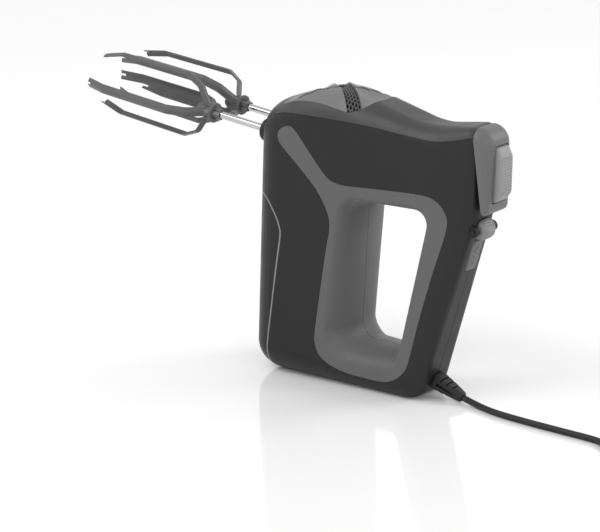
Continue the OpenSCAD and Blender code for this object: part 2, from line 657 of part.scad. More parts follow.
// ---------- ejector ----------
yoke_x = 21;
post_tip = shaft_inner + eject_travel + 0.4;
rod_end = (eject_x + 37) / cos(drive_tilt);
rod_half_w = 2.5;
rod_half_h = 2;
spring_r = 4;
spring_x = rod_end - 22.5;
module ejector_yoke() color([0.9, 0.9, 0.88]) drive_frame() {
  translate([yoke_x, -spindle_y - 3, -3]) cube([4, 2 * spindle_y + 6, 6]);
  at_spindles() along_drive(post_tip, yoke_x + 1, beater_shaft_r - 0.3);
  translate([yoke_x + 3, -rod_half_w, -rod_half_h])
      cube([rod_end - yoke_x - 3, 2 * rod_half_w, 2 * rod_half_h]);
}
// The button's ribbed block stands out of the bezel
eject_face = rear_reach + bezel_out + 3.5;
module eject_button() color([0.6, 0.6, 0.61]) difference() {
  union() {
    translate([eject_x - 1, -eject_half_w, eject_z - eject_h / 2])
        cube([eject_face - eject_x, 2 * eject_half_w, eject_h]);
    for (k = [0 : 10]) translate([eject_face - 1, -eject_half_w + 1.5, eject_z - 15 + 2.6 * k])
        cube([0.8, 2 * eject_half_w - 3, 1.2]);
  }
  drive_frame() translate([rod_end - 12, -rod_half_w, -rod_half_h])
      cube([12, 2 * rod_half_w, 2 * rod_half_h]);
  translate([eject_face - 4, -20, eject_z - eject_h / 2 - 6]) rotate([0, 30, 0]) cube([12, 40, 6]);
}
module ring_spring(r, wire, pitch, count) for (k = [0 : count - 1]) translate([0, 0, pitch * k])
  rotate_extrude($fn = 32) translate([r, 0]) circle(r = wire, $fn = 16);
module eject_spring() color([0.8, 0.8, 0.82]) drive_frame() translate([spring_x + 0.5, 0, 0])
    rotate([0, 90, 0])
  ring_spring(spring_r, 0.4, 2.2, 8);

// ---------- speed selector and turbo button ----------
axle_r = 1.5;
dial_half_w = 7.6;
module at_dial() translate([dial_x, 0, dial_z]) rotate([90, 0, 0]) children();
module speed_dial() color([0.47, 0.47, 0.48]) at_dial() difference() {
  union() {
    intersection() {
      sphere(r = dial_r + 0.9, $fn = 48);
      cylinder(h = 2 * dial_half_w - 2, r = dial_r, center = true, $fn = 64);
    }
    for (a = [-20 : 20 : 20]) rotate(a) translate([dial_r - 0.6, 0, 0]) cube([1.2, 0.8, 7], center = true);
  }
  cylinder(h = 40, r = axle_r + running, center = true, $fn = 48);
}
module dial_axle() color([0.78, 0.78, 0.8]) at_dial()
    cylinder(h = 2 * 12.4, r = axle_r, center = true, $fn = 48);
module dial_bracket() color([0.25, 0.25, 0.26]) difference() {
  for (side = [-1, 1]) hull() {
    translate([dial_x, side * 10.2, dial_z]) along_y(3, 3.4);
    translate([dial_x - 12, side * 10.2, dial_z + 1]) cube([4, 3, 8], center = true);
  }
  translate([dial_x, 0, dial_z]) along_y(60, axle_r);
}
module turbo_button() color([0.46, 0.46, 0.47]) handle_frame() translate([-0.6, 0, 3]) {
  rotate([0, 90, 0]) linear_extrude(4.2, center = true) offset(3)
      square([turbo_len - 6, 2 * turbo_half_w - 6], center = true);
  translate([-5.4, -2.5, -3]) cube([4, 5, 6]);
}
module turbo_spring() color([0.8, 0.8, 0.82]) handle_frame() translate([-7.5, 0, -5]) rotate([0, 90, 0])
    ring_spring(1.6, 0.3, 1.45, 4);
module turbo_switch() color([0.1, 0.1, 0.11]) handle_frame() {
  translate([-17.9, -3.2, -7]) cube([10, 6.4, 20]);
  translate([-8, -1.2, 2]) cube([0.4, 2.4, 2.4]);
}
board_x = -19.6;
module circuit_board() color([0.12, 0.35, 0.2]) handle_frame() difference() {
  translate([board_x, -10, -34]) cube([1.6, 20, 60]);
  for (z = [-31, 23]) translate([board_x - 1, 0, z]) rotate([0, 90, 0]) cylinder(h = 4, r = 1.6, $fn = 24);
}
module suppression_capacitor() color([0.85, 0.75, 0.3]) handle_frame()
    translate([board_x + 1.6, -7, -30]) cube([8, 14, 13]);
module choke_coils() color([0.7, 0.42, 0.2]) handle_frame() for (s = [-1, 1])
    translate([board_x + 4.6, s * 4.5, -16])
  cylinder(h = 8.4, r = 2.6, $fn = 32);

// ---------- leads, relief and cord ----------
function path_dir(p, i) = unit(p[min(i + 1, len(p) - 1)] - p[max(i - 1, 0)]);
// A tube of round section along points that turn gently
module tube(points, r, sides) {
  n = len(points);
  polyhedron(
    points = [for (i = [0 : n - 1])
      let (d = path_dir(points, i), u = unit(cross(d, abs(d[1]) > 0.9 ? [1, 0, 0] : [0, 1, 0])),
          v = cross(d, u))
      for (k = [0 : sides - 1]) points[i] + r * (cos(360 * k / sides) * u + sin(360 * k / sides) * v)],
    faces = concat(
      [[for (k = [sides - 1 : -1 : 0]) k]],
      [for (i = [0 : n - 2]) for (k = [0 : sides - 1])
        [i * sides + k, i * sides + (k + 1) % sides, (i + 1) * sides + (k + 1) % sides,
            (i + 1) * sides + k]],
      [[for (k = [0 : sides - 1]) (n - 1) * sides + k]]));
}
// Smooth curve through the points, so that the tube has a ring every few millimetres
function bend(p, step) = let (n = len(p)) concat([for (i = [0 : n - 2])
  let (a = p[max(i - 1, 0)], b = p[i], c = p[i + 1], d = p[min(i + 2, n - 1)],
      m = max(1, round(norm(c - b) / step)))
  for (k = [0 : m - 1]) let (t = k / m)
    0.5 * ((2 * b) + (c - a) * t + (2 * a - 5 * b + 4 * c - d) * t * t + (3 * b - a - 3 * c + d) * t * t * t)],
  [p[n - 1]]);

motor_lead_points = [[79, 0, 134], [68, 0, 140], [45, 0, 143], [15, 0, 142], [0, 0, 134], [-12, 0, 112],
    [-17, 0, 84], [-20, 0, 66]];
module motor_leads() color([0.6, 0.15, 0.12]) for (y = [-4, 4])
  tube([for (q = bend(motor_lead_points, 6)) q + [0, y, 0]], 1, 6);
inner_lead_points = [[50, 0, 9.5], [54, 0, 18], [56.5, 0, 31], [60, 0, 46], [63.5, 0, 60], [64.5, 0, 66]];
module inner_mains_lead() color([0.1, 0.1, 0.1]) tube(bend(inner_lead_points, 6), 1.6, 8);

relief_len = 24;
relief_end_r = 3.4;
module strain_relief() color([0.1, 0.1, 0.11]) relief_frame() difference() {
  union() {
    translate([0, 0, -8]) cylinder(h = 10, r = relief_neck_r, $fn = 48);
    translate([0, 0, -6.6]) cylinder(h = 2, r = 6, $fn = 48);
    translate([0, 0, 1.5]) cylinder(h = relief_len - 1.5, r1 = 5.2, r2 = relief_end_r, $fn = 48);
  }
  for (k = [0 : 3]) for (s = [0, 180]) rotate(s) translate([2.9, -5, 6 + 4 * k]) cube([4, 10, 1.6]);
}
module cord_clamp() color([0.2, 0.2, 0.21]) difference() {
  translate([50, -9, 3.2]) cube([5, 18, 4.2]);
  for (y = [-6.5, 6.5]) translate([52.5, y, 0]) cylinder(h = 20, r = 1.1, $fn = 24);
}
module clamp_screws() color([0.75, 0.75, 0.77]) for (y = [-6.5, 6.5]) translate([52.5, y, 7.4])
    rotate([180, 0, 0]) screw(4, 1.05, 2);

exit_point = [relief_x + relief_len * cos(relief_drop), 0, relief_z - relief_len * sin(relief_drop)];
coil_columns = 3;
coil_layers = 2;
coil_mid_r = 6 * cord_d;
coil_x = 240;
coil_y = 0;
lay_z = cord_d / 2;
lead_points = [exit_point, [93, -0.6, 3], [99, -1.8, lay_z + 0.3], [106, -3.6, lay_z], [116, -6, lay_z],
  [130, -7.4, lay_z], [150, -8, lay_z], [172, -8, lay_z], [190, -8, lay_z], [198, -9.4, lay_z],
  [205, -13.8, lay_z], [210, -18.6, lay_z], [215, -23.4, lay_z], [221, -27.6, lay_z], [229, -29.4, lay_z]];
tail_points = [[251, -29.4, 6], [259, -28.4, 5.2], [267, -25.8, 4], [274.5, -20.8, 3], [281, -14.2, 3],
  [285.2, -6.4, 4.6], [286.8, 0, 6], [287, 6, 7]];
module cord() color([0.08, 0.08, 0.09]) {
  tube(bend(lead_points, 9), cord_d / 2, 8);
  tube(bend(tail_points, 9), cord_d / 2, 8);
}
module coil_section(grow) translate([coil_mid_r - coil_columns * cord_d / 2 - grow, 0])
  square([coil_columns * cord_d + 2 * grow, coil_layers * cord_d + grow]);
module cord_coil() color([0.08, 0.08, 0.09]) translate([coil_x, coil_y, 0]) rotate_extrude($fn = 64)
    coil_section(0);
tie_w = 6;
tie_t = 1.2;
module cord_tie() color([0.05, 0.05, 0.05]) translate([coil_x, coil_y, 0]) difference() {
  intersection() {
    rotate_extrude($fn = 64) coil_section(tie_t);
    translate([-tie_w / 2, 0, 0]) cube([tie_w, 2 * coil_mid_r, far]);
  }
  translate([0, 0, -1]) rotate_extrude($fn = 64) translate([coil_mid_r - coil_columns * cord_d / 2, 0])
    square([coil_columns * cord_d, coil_layers * cord_d + 1]);
}

// Flat two-pin plug, lying on the surface beyond the coil
plug_x = 287;
plug_y = 22;
plug_half_w = 17;
plug_half_t = 7;
pin_r = 2;
pin_gap = 9.3;
pin_len = 19;
anchor_r = 2.6;            // the pins' moulded-in feet
anchor_len = 6;
module plug_frame() translate([plug_x, plug_y, plug_half_t]) rotate([-90, 0, 0]) children();
module plug_body() color([0.06, 0.06, 0.07]) plug_frame() difference() {
  union() {
    linear_extrude(plug_len) offset(4) square([2 * plug_half_w - 8, 2 * plug_half_t - 8], center = true);
    translate([0, 0, -16]) cylinder(h = 17, r1 = 3.2, r2 = 5.6, $fn = 48);
  }
  for (s = [-1, 1]) translate([s * pin_gap, 0, plug_len - anchor_len])
      cylinder(h = 10, r = anchor_r, $fn = 48);
}
module plug_pins() color([0.8, 0.8, 0.82]) plug_frame() for (s = [-1, 1])
    translate([s * pin_gap, 0, plug_len]) {
  translate([0, 0, -anchor_len]) cylinder(h = anchor_len, r = anchor_r, $fn = 48);
  cylinder(h = pin_len, r = pin_r, $fn = 48);
}

left_housing();
right_housing();
top_cover();
nose_plate();
front_cover();
vent_insert();
vent_mesh();
left_grip_inlay();
right_grip_inlay();
left_trim_strip();
right_trim_strip();
control_bezel();
port_collars();
housing_screws();
gearbox_frame();
gearbox_screws();
upper_motor_bracket();
lower_motor_bracket();
motor_screws();
stator_core();
field_coils();
motor_bushes();
brush_holders();
carbon_brushes();
brush_springs();
motor_shaft();
rotor_core();
rotor_windings();
commutator();
cooling_fan();
left_drive_gear();
right_drive_gear();
left_spindle_clip();
right_spindle_clip();
left_beater_shaft();
left_beater_head();
right_beater_shaft();
right_beater_head();
eject_button();
ejector_yoke();
eject_spring();
speed_dial();
dial_axle();
dial_bracket();
turbo_button();
turbo_spring();
turbo_switch();
circuit_board();
suppression_capacitor();
choke_coils();
motor_leads();
inner_mains_lead();
cord_clamp();
clamp_screws();
strain_relief();
cord();
cord_coil();
cord_tie();
plug_body();
plug_pins();
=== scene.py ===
import math

import bmesh
import bpy
from mathutils import Matrix, Vector
from mathutils.bvhtree import BVHTree


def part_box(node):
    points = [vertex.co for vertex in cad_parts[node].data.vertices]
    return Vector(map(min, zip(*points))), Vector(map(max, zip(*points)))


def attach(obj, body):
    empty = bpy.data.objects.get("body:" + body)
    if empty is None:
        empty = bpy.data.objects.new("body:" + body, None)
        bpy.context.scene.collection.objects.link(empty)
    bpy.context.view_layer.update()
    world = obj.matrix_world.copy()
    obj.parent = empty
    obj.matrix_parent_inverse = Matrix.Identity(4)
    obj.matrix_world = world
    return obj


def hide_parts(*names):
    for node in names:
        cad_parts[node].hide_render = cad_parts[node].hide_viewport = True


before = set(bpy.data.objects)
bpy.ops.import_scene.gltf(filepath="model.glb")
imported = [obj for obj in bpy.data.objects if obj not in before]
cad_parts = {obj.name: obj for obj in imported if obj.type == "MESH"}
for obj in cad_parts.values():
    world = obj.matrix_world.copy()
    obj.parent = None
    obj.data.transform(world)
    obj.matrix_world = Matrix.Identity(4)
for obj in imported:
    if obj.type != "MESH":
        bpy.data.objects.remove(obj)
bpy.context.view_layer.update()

MM = 0.001
FAR = 300.0
SIDES = (-1, 1)

# ---------- camera ----------
AZIMUTH, ELEVATION = math.radians(38), math.radians(17)
DISTANCE = 1.501
AIM = Vector((-0.047, 0.0, 0.0684))
FOCAL, SENSOR = 132.0, 36.0


def add_camera():
    back = Vector((math.sin(AZIMUTH) * math.cos(ELEVATION), -math.cos(AZIMUTH) * math.cos(ELEVATION),
                   math.sin(ELEVATION)))
    data = bpy.data.cameras.new("camera")
    data.lens, data.sensor_width, data.sensor_fit = FOCAL, SENSOR, "HORIZONTAL"
    data.clip_end = 20
    camera = bpy.data.objects.new("camera", data)
    camera.location = AIM + back * DISTANCE
    camera.rotation_euler = back.to_track_quat("Z", "Y").to_euler()
    bpy.context.scene.collection.objects.link(camera)
    bpy.context.scene.camera = camera


# ---------- materials ----------
def node_material(name):
    material = bpy.data.materials.new(name)
    material.use_nodes = True
    tree = material.node_tree
    return material, tree, tree.nodes["Principled BSDF"]


def add_node(tree, kind, inputs=None, **settings):
    node = tree.nodes.new(kind)
    for key, value in settings.items():
        setattr(node, key, value)
    for key, value in (inputs or {}).items():
        if isinstance(value, bpy.types.NodeSocket):
            tree.links.new(value, node.inputs[key])
        else:
            node.inputs[key].default_value = value
    return node


def noise(tree, scale, detail=3.0, roughness=0.55, stretch=(1, 1, 1)):
    """Noise in object space, so it is fixed to the piece and has its size in metres."""
    place = add_node(tree, "ShaderNodeTexCoord")
    mapping = add_node(tree, "ShaderNodeMapping", {"Vector": place.outputs["Object"], "Scale": stretch})
    return add_node(tree, "ShaderNodeTexNoise",
                    {"Vector": mapping.outputs[0], "Scale": scale, "Detail": detail, "Roughness": roughness})


def ramp(tree, value, low, high, span=(0.3, 0.7)):
    node = add_node(tree, "ShaderNodeMapRange", {"Value": value, "From Min": span[0], "From Max": span[1],
                                                "To Min": low, "To Max": high})
    return node.outputs[0]


def tint(tree, factor, dark, light):
    node = add_node(tree, "ShaderNodeMix", {0: factor}, data_type="RGBA")
    node.inputs[6].default_value = (*dark, 1)
    node.inputs[7].default_value = (*light, 1)
    return node.outputs[2]


def gray(value, warmth=0.0):
    return (value * (1 + warmth), value, value * (1 - warmth))


def moulded(name, shade, rough=(0.34, 0.46), grain=2600, grain_depth=0.05, spread=0.1, coat=0.0, color=None,
            gloss=0.3):
    """Injection moulded plastic: spark-eroded grain, faint flow marks, handling shine."""
    material, tree, shader = node_material(name)
    base = color or gray(shade)
    flow = noise(tree, 14, 4, stretch=(1, 1, 0.35))
    lighter = tuple(c * (1 + spread) for c in base)
    darker = tuple(c * (1 - spread) for c in base)
    tree.links.new(tint(tree, ramp(tree, flow.outputs[0], 0, 1), darker, lighter), shader.inputs["Base Color"])
    rub = noise(tree, 45, 5, 0.6)
    tree.links.new(ramp(tree, rub.outputs[0], *rough), shader.inputs["Roughness"])
    shader.inputs["Specular IOR Level"].default_value = gloss
    shader.inputs["Coat Weight"].default_value = coat
    shader.inputs["Coat Roughness"].default_value = 0.2
    fine = noise(tree, grain, 2)
    bump = add_node(tree, "ShaderNodeBump", {"Height": fine.outputs[0], "Strength": grain_depth, "Distance": 0.0004})
    tree.links.new(bump.outputs[0], shader.inputs["Normal"])
    return material


def soft_touch(name, shade):
    """Rubbery two-shot grip: matte with a soft edge sheen and fine pebbling."""
    material = moulded(name, shade, rough=(0.46, 0.58), grain=1900, grain_depth=0.09, spread=0.06)
    shader = material.node_tree.nodes["Principled BSDF"]
    shader.inputs["Sheen Weight"].default_value = 0.12
    shader.inputs["Sheen Roughness"].default_value = 0.5
    return material


def metal(name, shade, rough=(0.14, 0.24), color=None, stretch=(1, 1, 30), scale=160, depth=0.03):
    """Drawn or rolled metal, with its grain along the stretch's short axis."""
    material, tree, shader = node_material(name)
    base = color or gray(shade)
    grain = noise(tree, scale, 4, 0.6, stretch)
    tree.links.new(tint(tree, ramp(tree, grain.outputs[0], 0, 1), tuple(c * 0.86 for c in base), base),
                   shader.inputs["Base Color"])
    shader.inputs["Metallic"].default_value = 1.0
    tree.links.new(ramp(tree, grain.outputs[0], *rough), shader.inputs["Roughness"])
    bump = add_node(tree, "ShaderNodeBump", {"Height": grain.outputs[0], "Strength": depth, "Distance": 0.0003})
    tree.links.new(bump.outputs[0], shader.inputs["Normal"])
    return material


def wound(name, color, pitch=5200):
    """Enamelled wire: bands of turns with a varnish gloss."""
    material, tree, shader = node_material(name)
    place = add_node(tree, "ShaderNodeTexCoord")
    wave = add_node(tree, "ShaderNodeTexWave", {"Vector": place.outputs["Object"], "Scale": pitch / 10,
                                               "Distortion": 1.5, "Detail": 2.0}, bands_direction="Z")
    tree.links.new(tint(tree, wave.outputs[1], tuple(c * 0.45 for c in color), color), shader.inputs["Base Color"])
    shader.inputs["Metallic"].default_value = 0.7
    shader.inputs["Roughness"].default_value = 0.35
    bump = add_node(tree, "ShaderNodeBump", {"Height": wave.outputs[1], "Strength": 0.4, "Distance": 0.0004})
    tree.links.new(bump.outputs[0], shader.inputs["Normal"])
    return material


def floor_material():
    material, tree, shader = node_material("floor_gloss")
    cloud = noise(tree, 3, 2)
    tree.links.new(tint(tree, cloud.outputs[0], gray(0.84), gray(0.87)), shader.inputs["Base Color"])
    tree.links.new(ramp(tree, cloud.outputs[0], 0.07, 0.11), shader.inputs["Roughness"])
    return material


MATERIALS = {}


def make_materials():
    MATERIALS.update({
        "housing": moulded("housing_plastic", 0.012, rough=(0.36, 0.48)),
        "front": moulded("front_cover_plastic", 0.012, rough=(0.34, 0.46)),
        "top": moulded("top_cover_plastic", 0.045, rough=(0.4, 0.5)),
        "nose": moulded("nose_plastic", 0.02, rough=(0.34, 0.44)),
        "vent": moulded("vent_plastic", 0.15, rough=(0.4, 0.52)),
        "mesh": moulded("mesh_plastic", 0.07, rough=(0.5, 0.6)),
        "grip": soft_touch("grip_rubber", 0.095),
        "trim": moulded("trim_plastic", 0.2, rough=(0.25, 0.35)),
        "bezel": moulded("bezel_plastic", 0.12, rough=(0.36, 0.48)),
        "button": moulded("button_plastic", 0.24, rough=(0.4, 0.52)),
        "dial": moulded("dial_plastic", 0.19, rough=(0.3, 0.42), coat=0.15),
        "dark": moulded("dark_plastic", 0.012, rough=(0.45, 0.6)),
        "tine": moulded("tine_coating", 0.085, rough=(0.3, 0.42), grain=1500, coat=0.1),
        "chrome": metal("polished_steel", 0.55, rough=(0.05, 0.1), stretch=(1, 1, 1), scale=60, depth=0.01),
        "steel": metal("zinc_steel", 0.6, rough=(0.25, 0.4)),
        "sheet": metal("pressed_sheet", 0.5, rough=(0.3, 0.45), stretch=(1, 12, 1)),
        "stack": metal("lamination_stack", 0.32, rough=(0.35, 0.5), stretch=(0.2, 0.2, 14), scale=400, depth=0.3),
        "casting": metal("die_casting", 0.55, rough=(0.4, 0.6), stretch=(1, 1, 1), scale=500, depth=0.12),
        "copper": wound("enamelled_copper", (0.62, 0.26, 0.1)),
        "bronze": metal("sintered_bronze", 0.5, color=(0.5, 0.34, 0.16), rough=(0.4, 0.55), stretch=(1, 1, 1)),
        "brass": metal("pressed_brass", 0.6, color=(0.75, 0.55, 0.25), rough=(0.2, 0.35)),
        "acetal": moulded("acetal_gear", 0.7, rough=(0.3, 0.4), color=(0.72, 0.7, 0.62), spread=0.04),
        "board": moulded("board_lacquer", 0.1, color=(0.02, 0.13, 0.05), coat=0.4),
        "capacitor": moulded("capacitor_case", 0.4, color=(0.6, 0.42, 0.06), coat=0.3),
        "wire": moulded("wire_insulation", 0.2, color=(0.35, 0.03, 0.02), rough=(0.35, 0.45)),
        "cord": moulded("cord_sheath", 0.016, rough=(0.4, 0.52), grain=1200, grain_depth=0.12),
        "plug": moulded("plug_rubber", 0.018, rough=(0.45, 0.58), grain=1700, grain_depth=0.1),
    })


NODE_MATERIALS = {
    "housing_screws": "steel", "gearbox_frame": "casting", "gearbox_screws": "steel",
    "upper_motor_bracket": "sheet", "lower_motor_bracket": "sheet", "motor_screws": "steel",
    "stator_core": "stack", "field_coils": "copper", "motor_bushes": "bronze", "brush_holders": "brass",
    "carbon_brushes": "dark", "brush_springs": "steel", "motor_shaft": "chrome", "rotor_core": "stack",
    "rotor_windings": "copper", "commutator": "copper", "cooling_fan": "acetal", "left_drive_gear": "acetal",
    "right_drive_gear": "acetal", "left_spindle_clip": "steel", "right_spindle_clip": "steel",
    "ejector_yoke": "acetal", "eject_spring": "steel", "dial_axle": "dark", "dial_bracket": "dark",
    "turbo_spring": "steel", "turbo_switch": "dark", "circuit_board": "board",
    "suppression_capacitor": "capacitor", "choke_coils": "copper", "motor_leads": "wire",
    "inner_mains_lead": "cord", "cord_clamp": "dark", "clamp_screws": "steel", "plug_pins": "brass"}


def dress_cad_nodes():
    for node, key in NODE_MATERIALS.items():
        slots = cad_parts[node].material_slots
        for slot in slots:
            slot.material = MATERIALS[key]


# ---------- mesh tools, in millimetres until the mesh is made ----------
def new_object(name, points, faces):
    mesh = bpy.data.meshes.new(name)
    mesh.from_pydata([(p[0] * MM, p[1] * MM, p[2] * MM) for p in points], [], faces)
    obj = bpy.data.objects.new(name, mesh)
    bpy.context.scene.collection.objects.link(obj)
    return obj


def tidy_normals(obj):
    work = bmesh.new()
    work.from_mesh(obj.data)
    bmesh.ops.recalc_face_normals(work, faces=work.faces)
    work.to_mesh(obj.data)
    work.free()


def rings_object(name, rings, closed_path=False):
    """A closed skin through rings with the same number of points. On a closed path the last joins the first."""
    count, size = len(rings), len(rings[0])
    faces = []
    for k in range(count if closed_path else count - 1):
        a, b = k * size, (k + 1) % count * size
        faces += [(a + i, a + (i + 1) % size, b + (i + 1) % size, b + i) for i in range(size)]
    if not closed_path:
        faces += [tuple(range(size))[::-1], tuple((count - 1) * size + i for i in range(size))]
    obj = new_object(name, [p for ring in rings for p in ring], faces)
    tidy_normals(obj)
    return obj


def cut(obj, tool, operation="DIFFERENCE", keep_tool=False):
    modifier = obj.modifiers.new("cut", "BOOLEAN")
    modifier.operation, modifier.solver, modifier.object = operation, "MANIFOLD", tool
    graph = bpy.context.evaluated_depsgraph_get()
    mesh = bpy.data.meshes.new_from_object(obj.evaluated_get(graph))
    old = obj.data
    obj.modifiers.clear()
    obj.data = mesh
    bpy.data.meshes.remove(old)
    if not keep_tool:
        bpy.data.objects.remove(tool)
    return obj


def join_solids(obj, *others):
    for other in others:
        cut(obj, other, "UNION")
    return obj


def keep_inside(obj, tool, keep_tool=False):
    return cut(obj, tool, "INTERSECT", keep_tool)


def copy_of(obj, name):
    twin = bpy.data.objects.new(name, obj.data.copy())
    bpy.context.scene.collection.objects.link(twin)
    return twin


def box_tool(low, high):
    points = [(x, y, z) for x in (low[0], high[0]) for y in (low[1], high[1]) for z in (low[2], high[2])]
    faces = [(0, 1, 3, 2), (4, 6, 7, 5), (0, 4, 5, 1), (2, 3, 7, 6), (0, 2, 6, 4), (1, 5, 7, 3)]
    obj = new_object("tool", points, faces)
    tidy_normals(obj)
    return obj


def finish_piece(obj, name, material, body="housing", replaces=(), sharp=32.0):
    """Cleans a piece, shades it, gives it its material and its body."""
    obj.name = name
    work = bmesh.new()
    work.from_mesh(obj.data)
    bmesh.ops.remove_doubles(work, verts=work.verts, dist=0.00002)
    bmesh.ops.dissolve_degenerate(work, edges=work.edges, dist=0.00001)
    for face in work.faces:
        face.smooth = True
    work.to_mesh(obj.data)
    work.free()
    obj.data.set_sharp_from_angle(angle=math.radians(sharp))
    weigh = obj.modifiers.new("weigh", "WEIGHTED_NORMAL")
    weigh.keep_sharp = True
    obj.data.materials.clear()
    obj.data.materials.append(MATERIALS[material])
    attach(obj, body)
    if replaces:
        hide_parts(*replaces)
    return obj


# ---------- outlines ----------
def fillet(p, a, b, radius, steps):
    p, a, b = Vector(p), Vector(a), Vector(b)
    u, v = (a - p).normalized(), (b - p).normalized()
    half = math.acos(max(-1, min(1, u.dot(v)))) / 2
    if radius <= 0 or half > math.radians(89):
        return [p]
    centre = p + (u + v).normalized() * radius / math.sin(half)
    start, end = p + u * radius / math.tan(half) - centre, p + v * radius / math.tan(half) - centre
    turn = math.pi - 2 * half
    return [centre + (start * math.sin((1 - k / steps) * turn) + end * math.sin(k / steps * turn)) / math.sin(turn)
            for k in range(steps + 1)]


def rounded(corners, steps=14):
    """Corners are x, z, corner radius and any further values, which the outline's points keep."""
    out = []
    for i, c in enumerate(corners):
        before, after = corners[i - 1], corners[(i + 1) % len(corners)]
        out += [(*q, *c[3:]) for q in fillet(c[:2], before[:2], after[:2], c[2], steps)]
    return out


def spline(points, per=8, closed=True):
    """Smooth curve through the points."""
    n = len(points)
    pts = [Vector(p) for p in points]
    out = []
    for i in range(n if closed else n - 1):
        if closed:
            a, b, c, d = pts[i - 1], pts[i], pts[(i + 1) % n], pts[(i + 2) % n]
        else:
            a, b, c, d = pts[max(i - 1, 0)], pts[i], pts[i + 1], pts[min(i + 2, n - 1)]
        for k in range(per):
            t = k / per
            out.append(0.5 * ((2 * b) + (c - a) * t + (2 * a - 5 * b + 4 * c - d) * t * t
                              + (3 * b - a - 3 * c + d) * t ** 3))
    if not closed:
        out.append(pts[-1])
    return out


def grown(points, amount):
    """The closed outline moved outwards by an amount, or inwards if it is negative."""
    n = len(points)
    area = sum(points[i - 1][0] * points[i][1] - points[i][0] * points[i - 1][1] for i in range(n))
    sign = 1 if area > 0 else -1
    out = []
    for i in range(n):
        p, a, b = Vector(points[i][:2]), Vector(points[i - 1][:2]), Vector(points[(i + 1) % n][:2])
        e, f = (p - a).normalized(), (b - p).normalized()
        normal = Vector((e.y + f.y, -e.x - f.x)) * sign
        if normal.length < 1e-6:
            normal = Vector((e.y, -e.x)) * sign
        normal.normalize()
        reach = amount / max(0.5, normal.dot(Vector((e.y, -e.x)) * sign))
        out.append(p + normal * reach)
    return out


def prism(outline, y0=-FAR, y1=FAR):
    """An X-Z outline drawn along Y."""
    return rings_object("tool", [[(p[0], y, p[1]) for p in outline] for y in (y0, y1)])


def upright(outline, z0, z1):
    return rings_object("tool", [[(p[0], p[1], z) for p in outline] for z in (z0, z1)])


# ---------- the body's form ----------
BODY_H, FRONT, REAR = 204.0, 68.5, 106.0
FRONT_HALF_W, TAPER = 33, (33 - 15.5) / 145
WALL, GAP = 3.0, 0.12
SEAM_Z = BODY_H - 21.5


def half_w(x):
    return FRONT_HALF_W - (x + 45) * TAPER


BODY_CORNERS = [
    (-FRONT + 2.2, 0, 21, 20), (-FRONT + 7, BODY_H - 23, 26, 22), (-14, BODY_H, 75, 20), (62, BODY_H - 19.5, 70, 14),
    (REAR, BODY_H - 14.5, 9, 8), (REAR - 3, 131, 60, 9), (REAR - 42.5, 0, 13, 10)]
BEZEL_CORNERS = [(REAR - 16, BODY_H - 16.1, 4, 4), (REAR + 8, BODY_H - 14.5, 12, 8), (REAR + 5.5, 133, 5, 4.5),
                 (REAR - 16, 131, 4, 4)]


def pillow(name, corners, inset=0.0, steps=14, ring_steps=9, width=half_w):
    """Closed form with flat tapering sides and rounded edges, drawn in by inset all round."""
    line = rounded(corners, steps)
    n = len(line)
    rings = []
    order = [(k, -1) for k in range(ring_steps, -1, -1)] + [(k, 1) for k in range(ring_steps + 1)]
    for k, side in order:
        t = math.radians(90 * k / ring_steps)
        ring = []
        for i, (x, z, edge) in enumerate(line):
            d = Vector((line[(i + 1) % n][0] - line[i - 1][0], line[(i + 1) % n][1] - line[i - 1][1])).normalized()
            r = max(edge - inset, 0.6)
            reach = inset + r * (1 - math.cos(t))
            px, pz = x + d.y * reach, z - d.x * reach
            ring.append((px, side * (width(px) - inset - r * (1 - math.sin(t))), pz))
        rings.append(ring)
    return rings_object(name, rings)


TOP_SEAM = [(-47, 179.5), (-34, SEAM_Z), (-5, SEAM_Z + 0.2), (28, SEAM_Z - 1.5), (52, SEAM_Z - 4), (71, SEAM_Z - 5.5),
            (86, SEAM_Z - 3.5), (101.5, SEAM_Z + 0.5)]
BEZEL_SEAM = [(REAR - 5, BODY_H + 20), (REAR - 4.6, 182), (REAR + 1.8, 136), (REAR + 2.4, 131.2)]
COVER_SEAM = [(-54, 124.3), (-49, 121), (-43, 112.5), (-39.9, 104.5), (-39.3, 98.5), (-42, 80), (-45.8, 52),
              (-49.4, 25), (-51.2, 4.5)]
INLAY_POINTS = [
    (-40.5, 166), (-39, 171.5), (-33, 174.5), (-27, 172), (-16, 158.5), (-5, 145.5), (1, 141.5), (10, 140),
    (24, 140.5), (61, 141.5), (75, 139.6), (83, 132), (84.3, 121), (75, 90), (66, 57.5), (58.5, 27), (54.6, 19),
    (48, 13), (39, 10), (25, 10.2), (12, 11.2), (0, 14.5), (-8.5, 20), (-12, 28), (-12, 37), (-7.6, 69),
    (-3.5, 96), (-1.4, 108), (-2.5, 119), (-11, 134), (-24, 147.5), (-37, 160)]
NOSE_X, NOSE_Z, NOSE_HALF = -44.5, 140.0, 24.0


def top_outline(amount):
    return grown(spline(TOP_SEAM, 6, False) + [Vector((101, BODY_H + 20)), Vector((-47, BODY_H + 20))], amount)


def bezel_outline(amount):
    ends = [Vector((REAR + 40, 131.2)), Vector((REAR + 40, BODY_H + 20))]
    return grown([Vector(p) for p in BEZEL_SEAM] + ends, amount)


def cover_outline(amount):
    return grown([Vector((-FAR, 124.3))] + spline(COVER_SEAM, 6, False) + [Vector((-51.2, -20)), Vector((-FAR, -20))],
                 amount)


def inlay_outline(amount):
    return grown(spline(INLAY_POINTS, 6), amount)


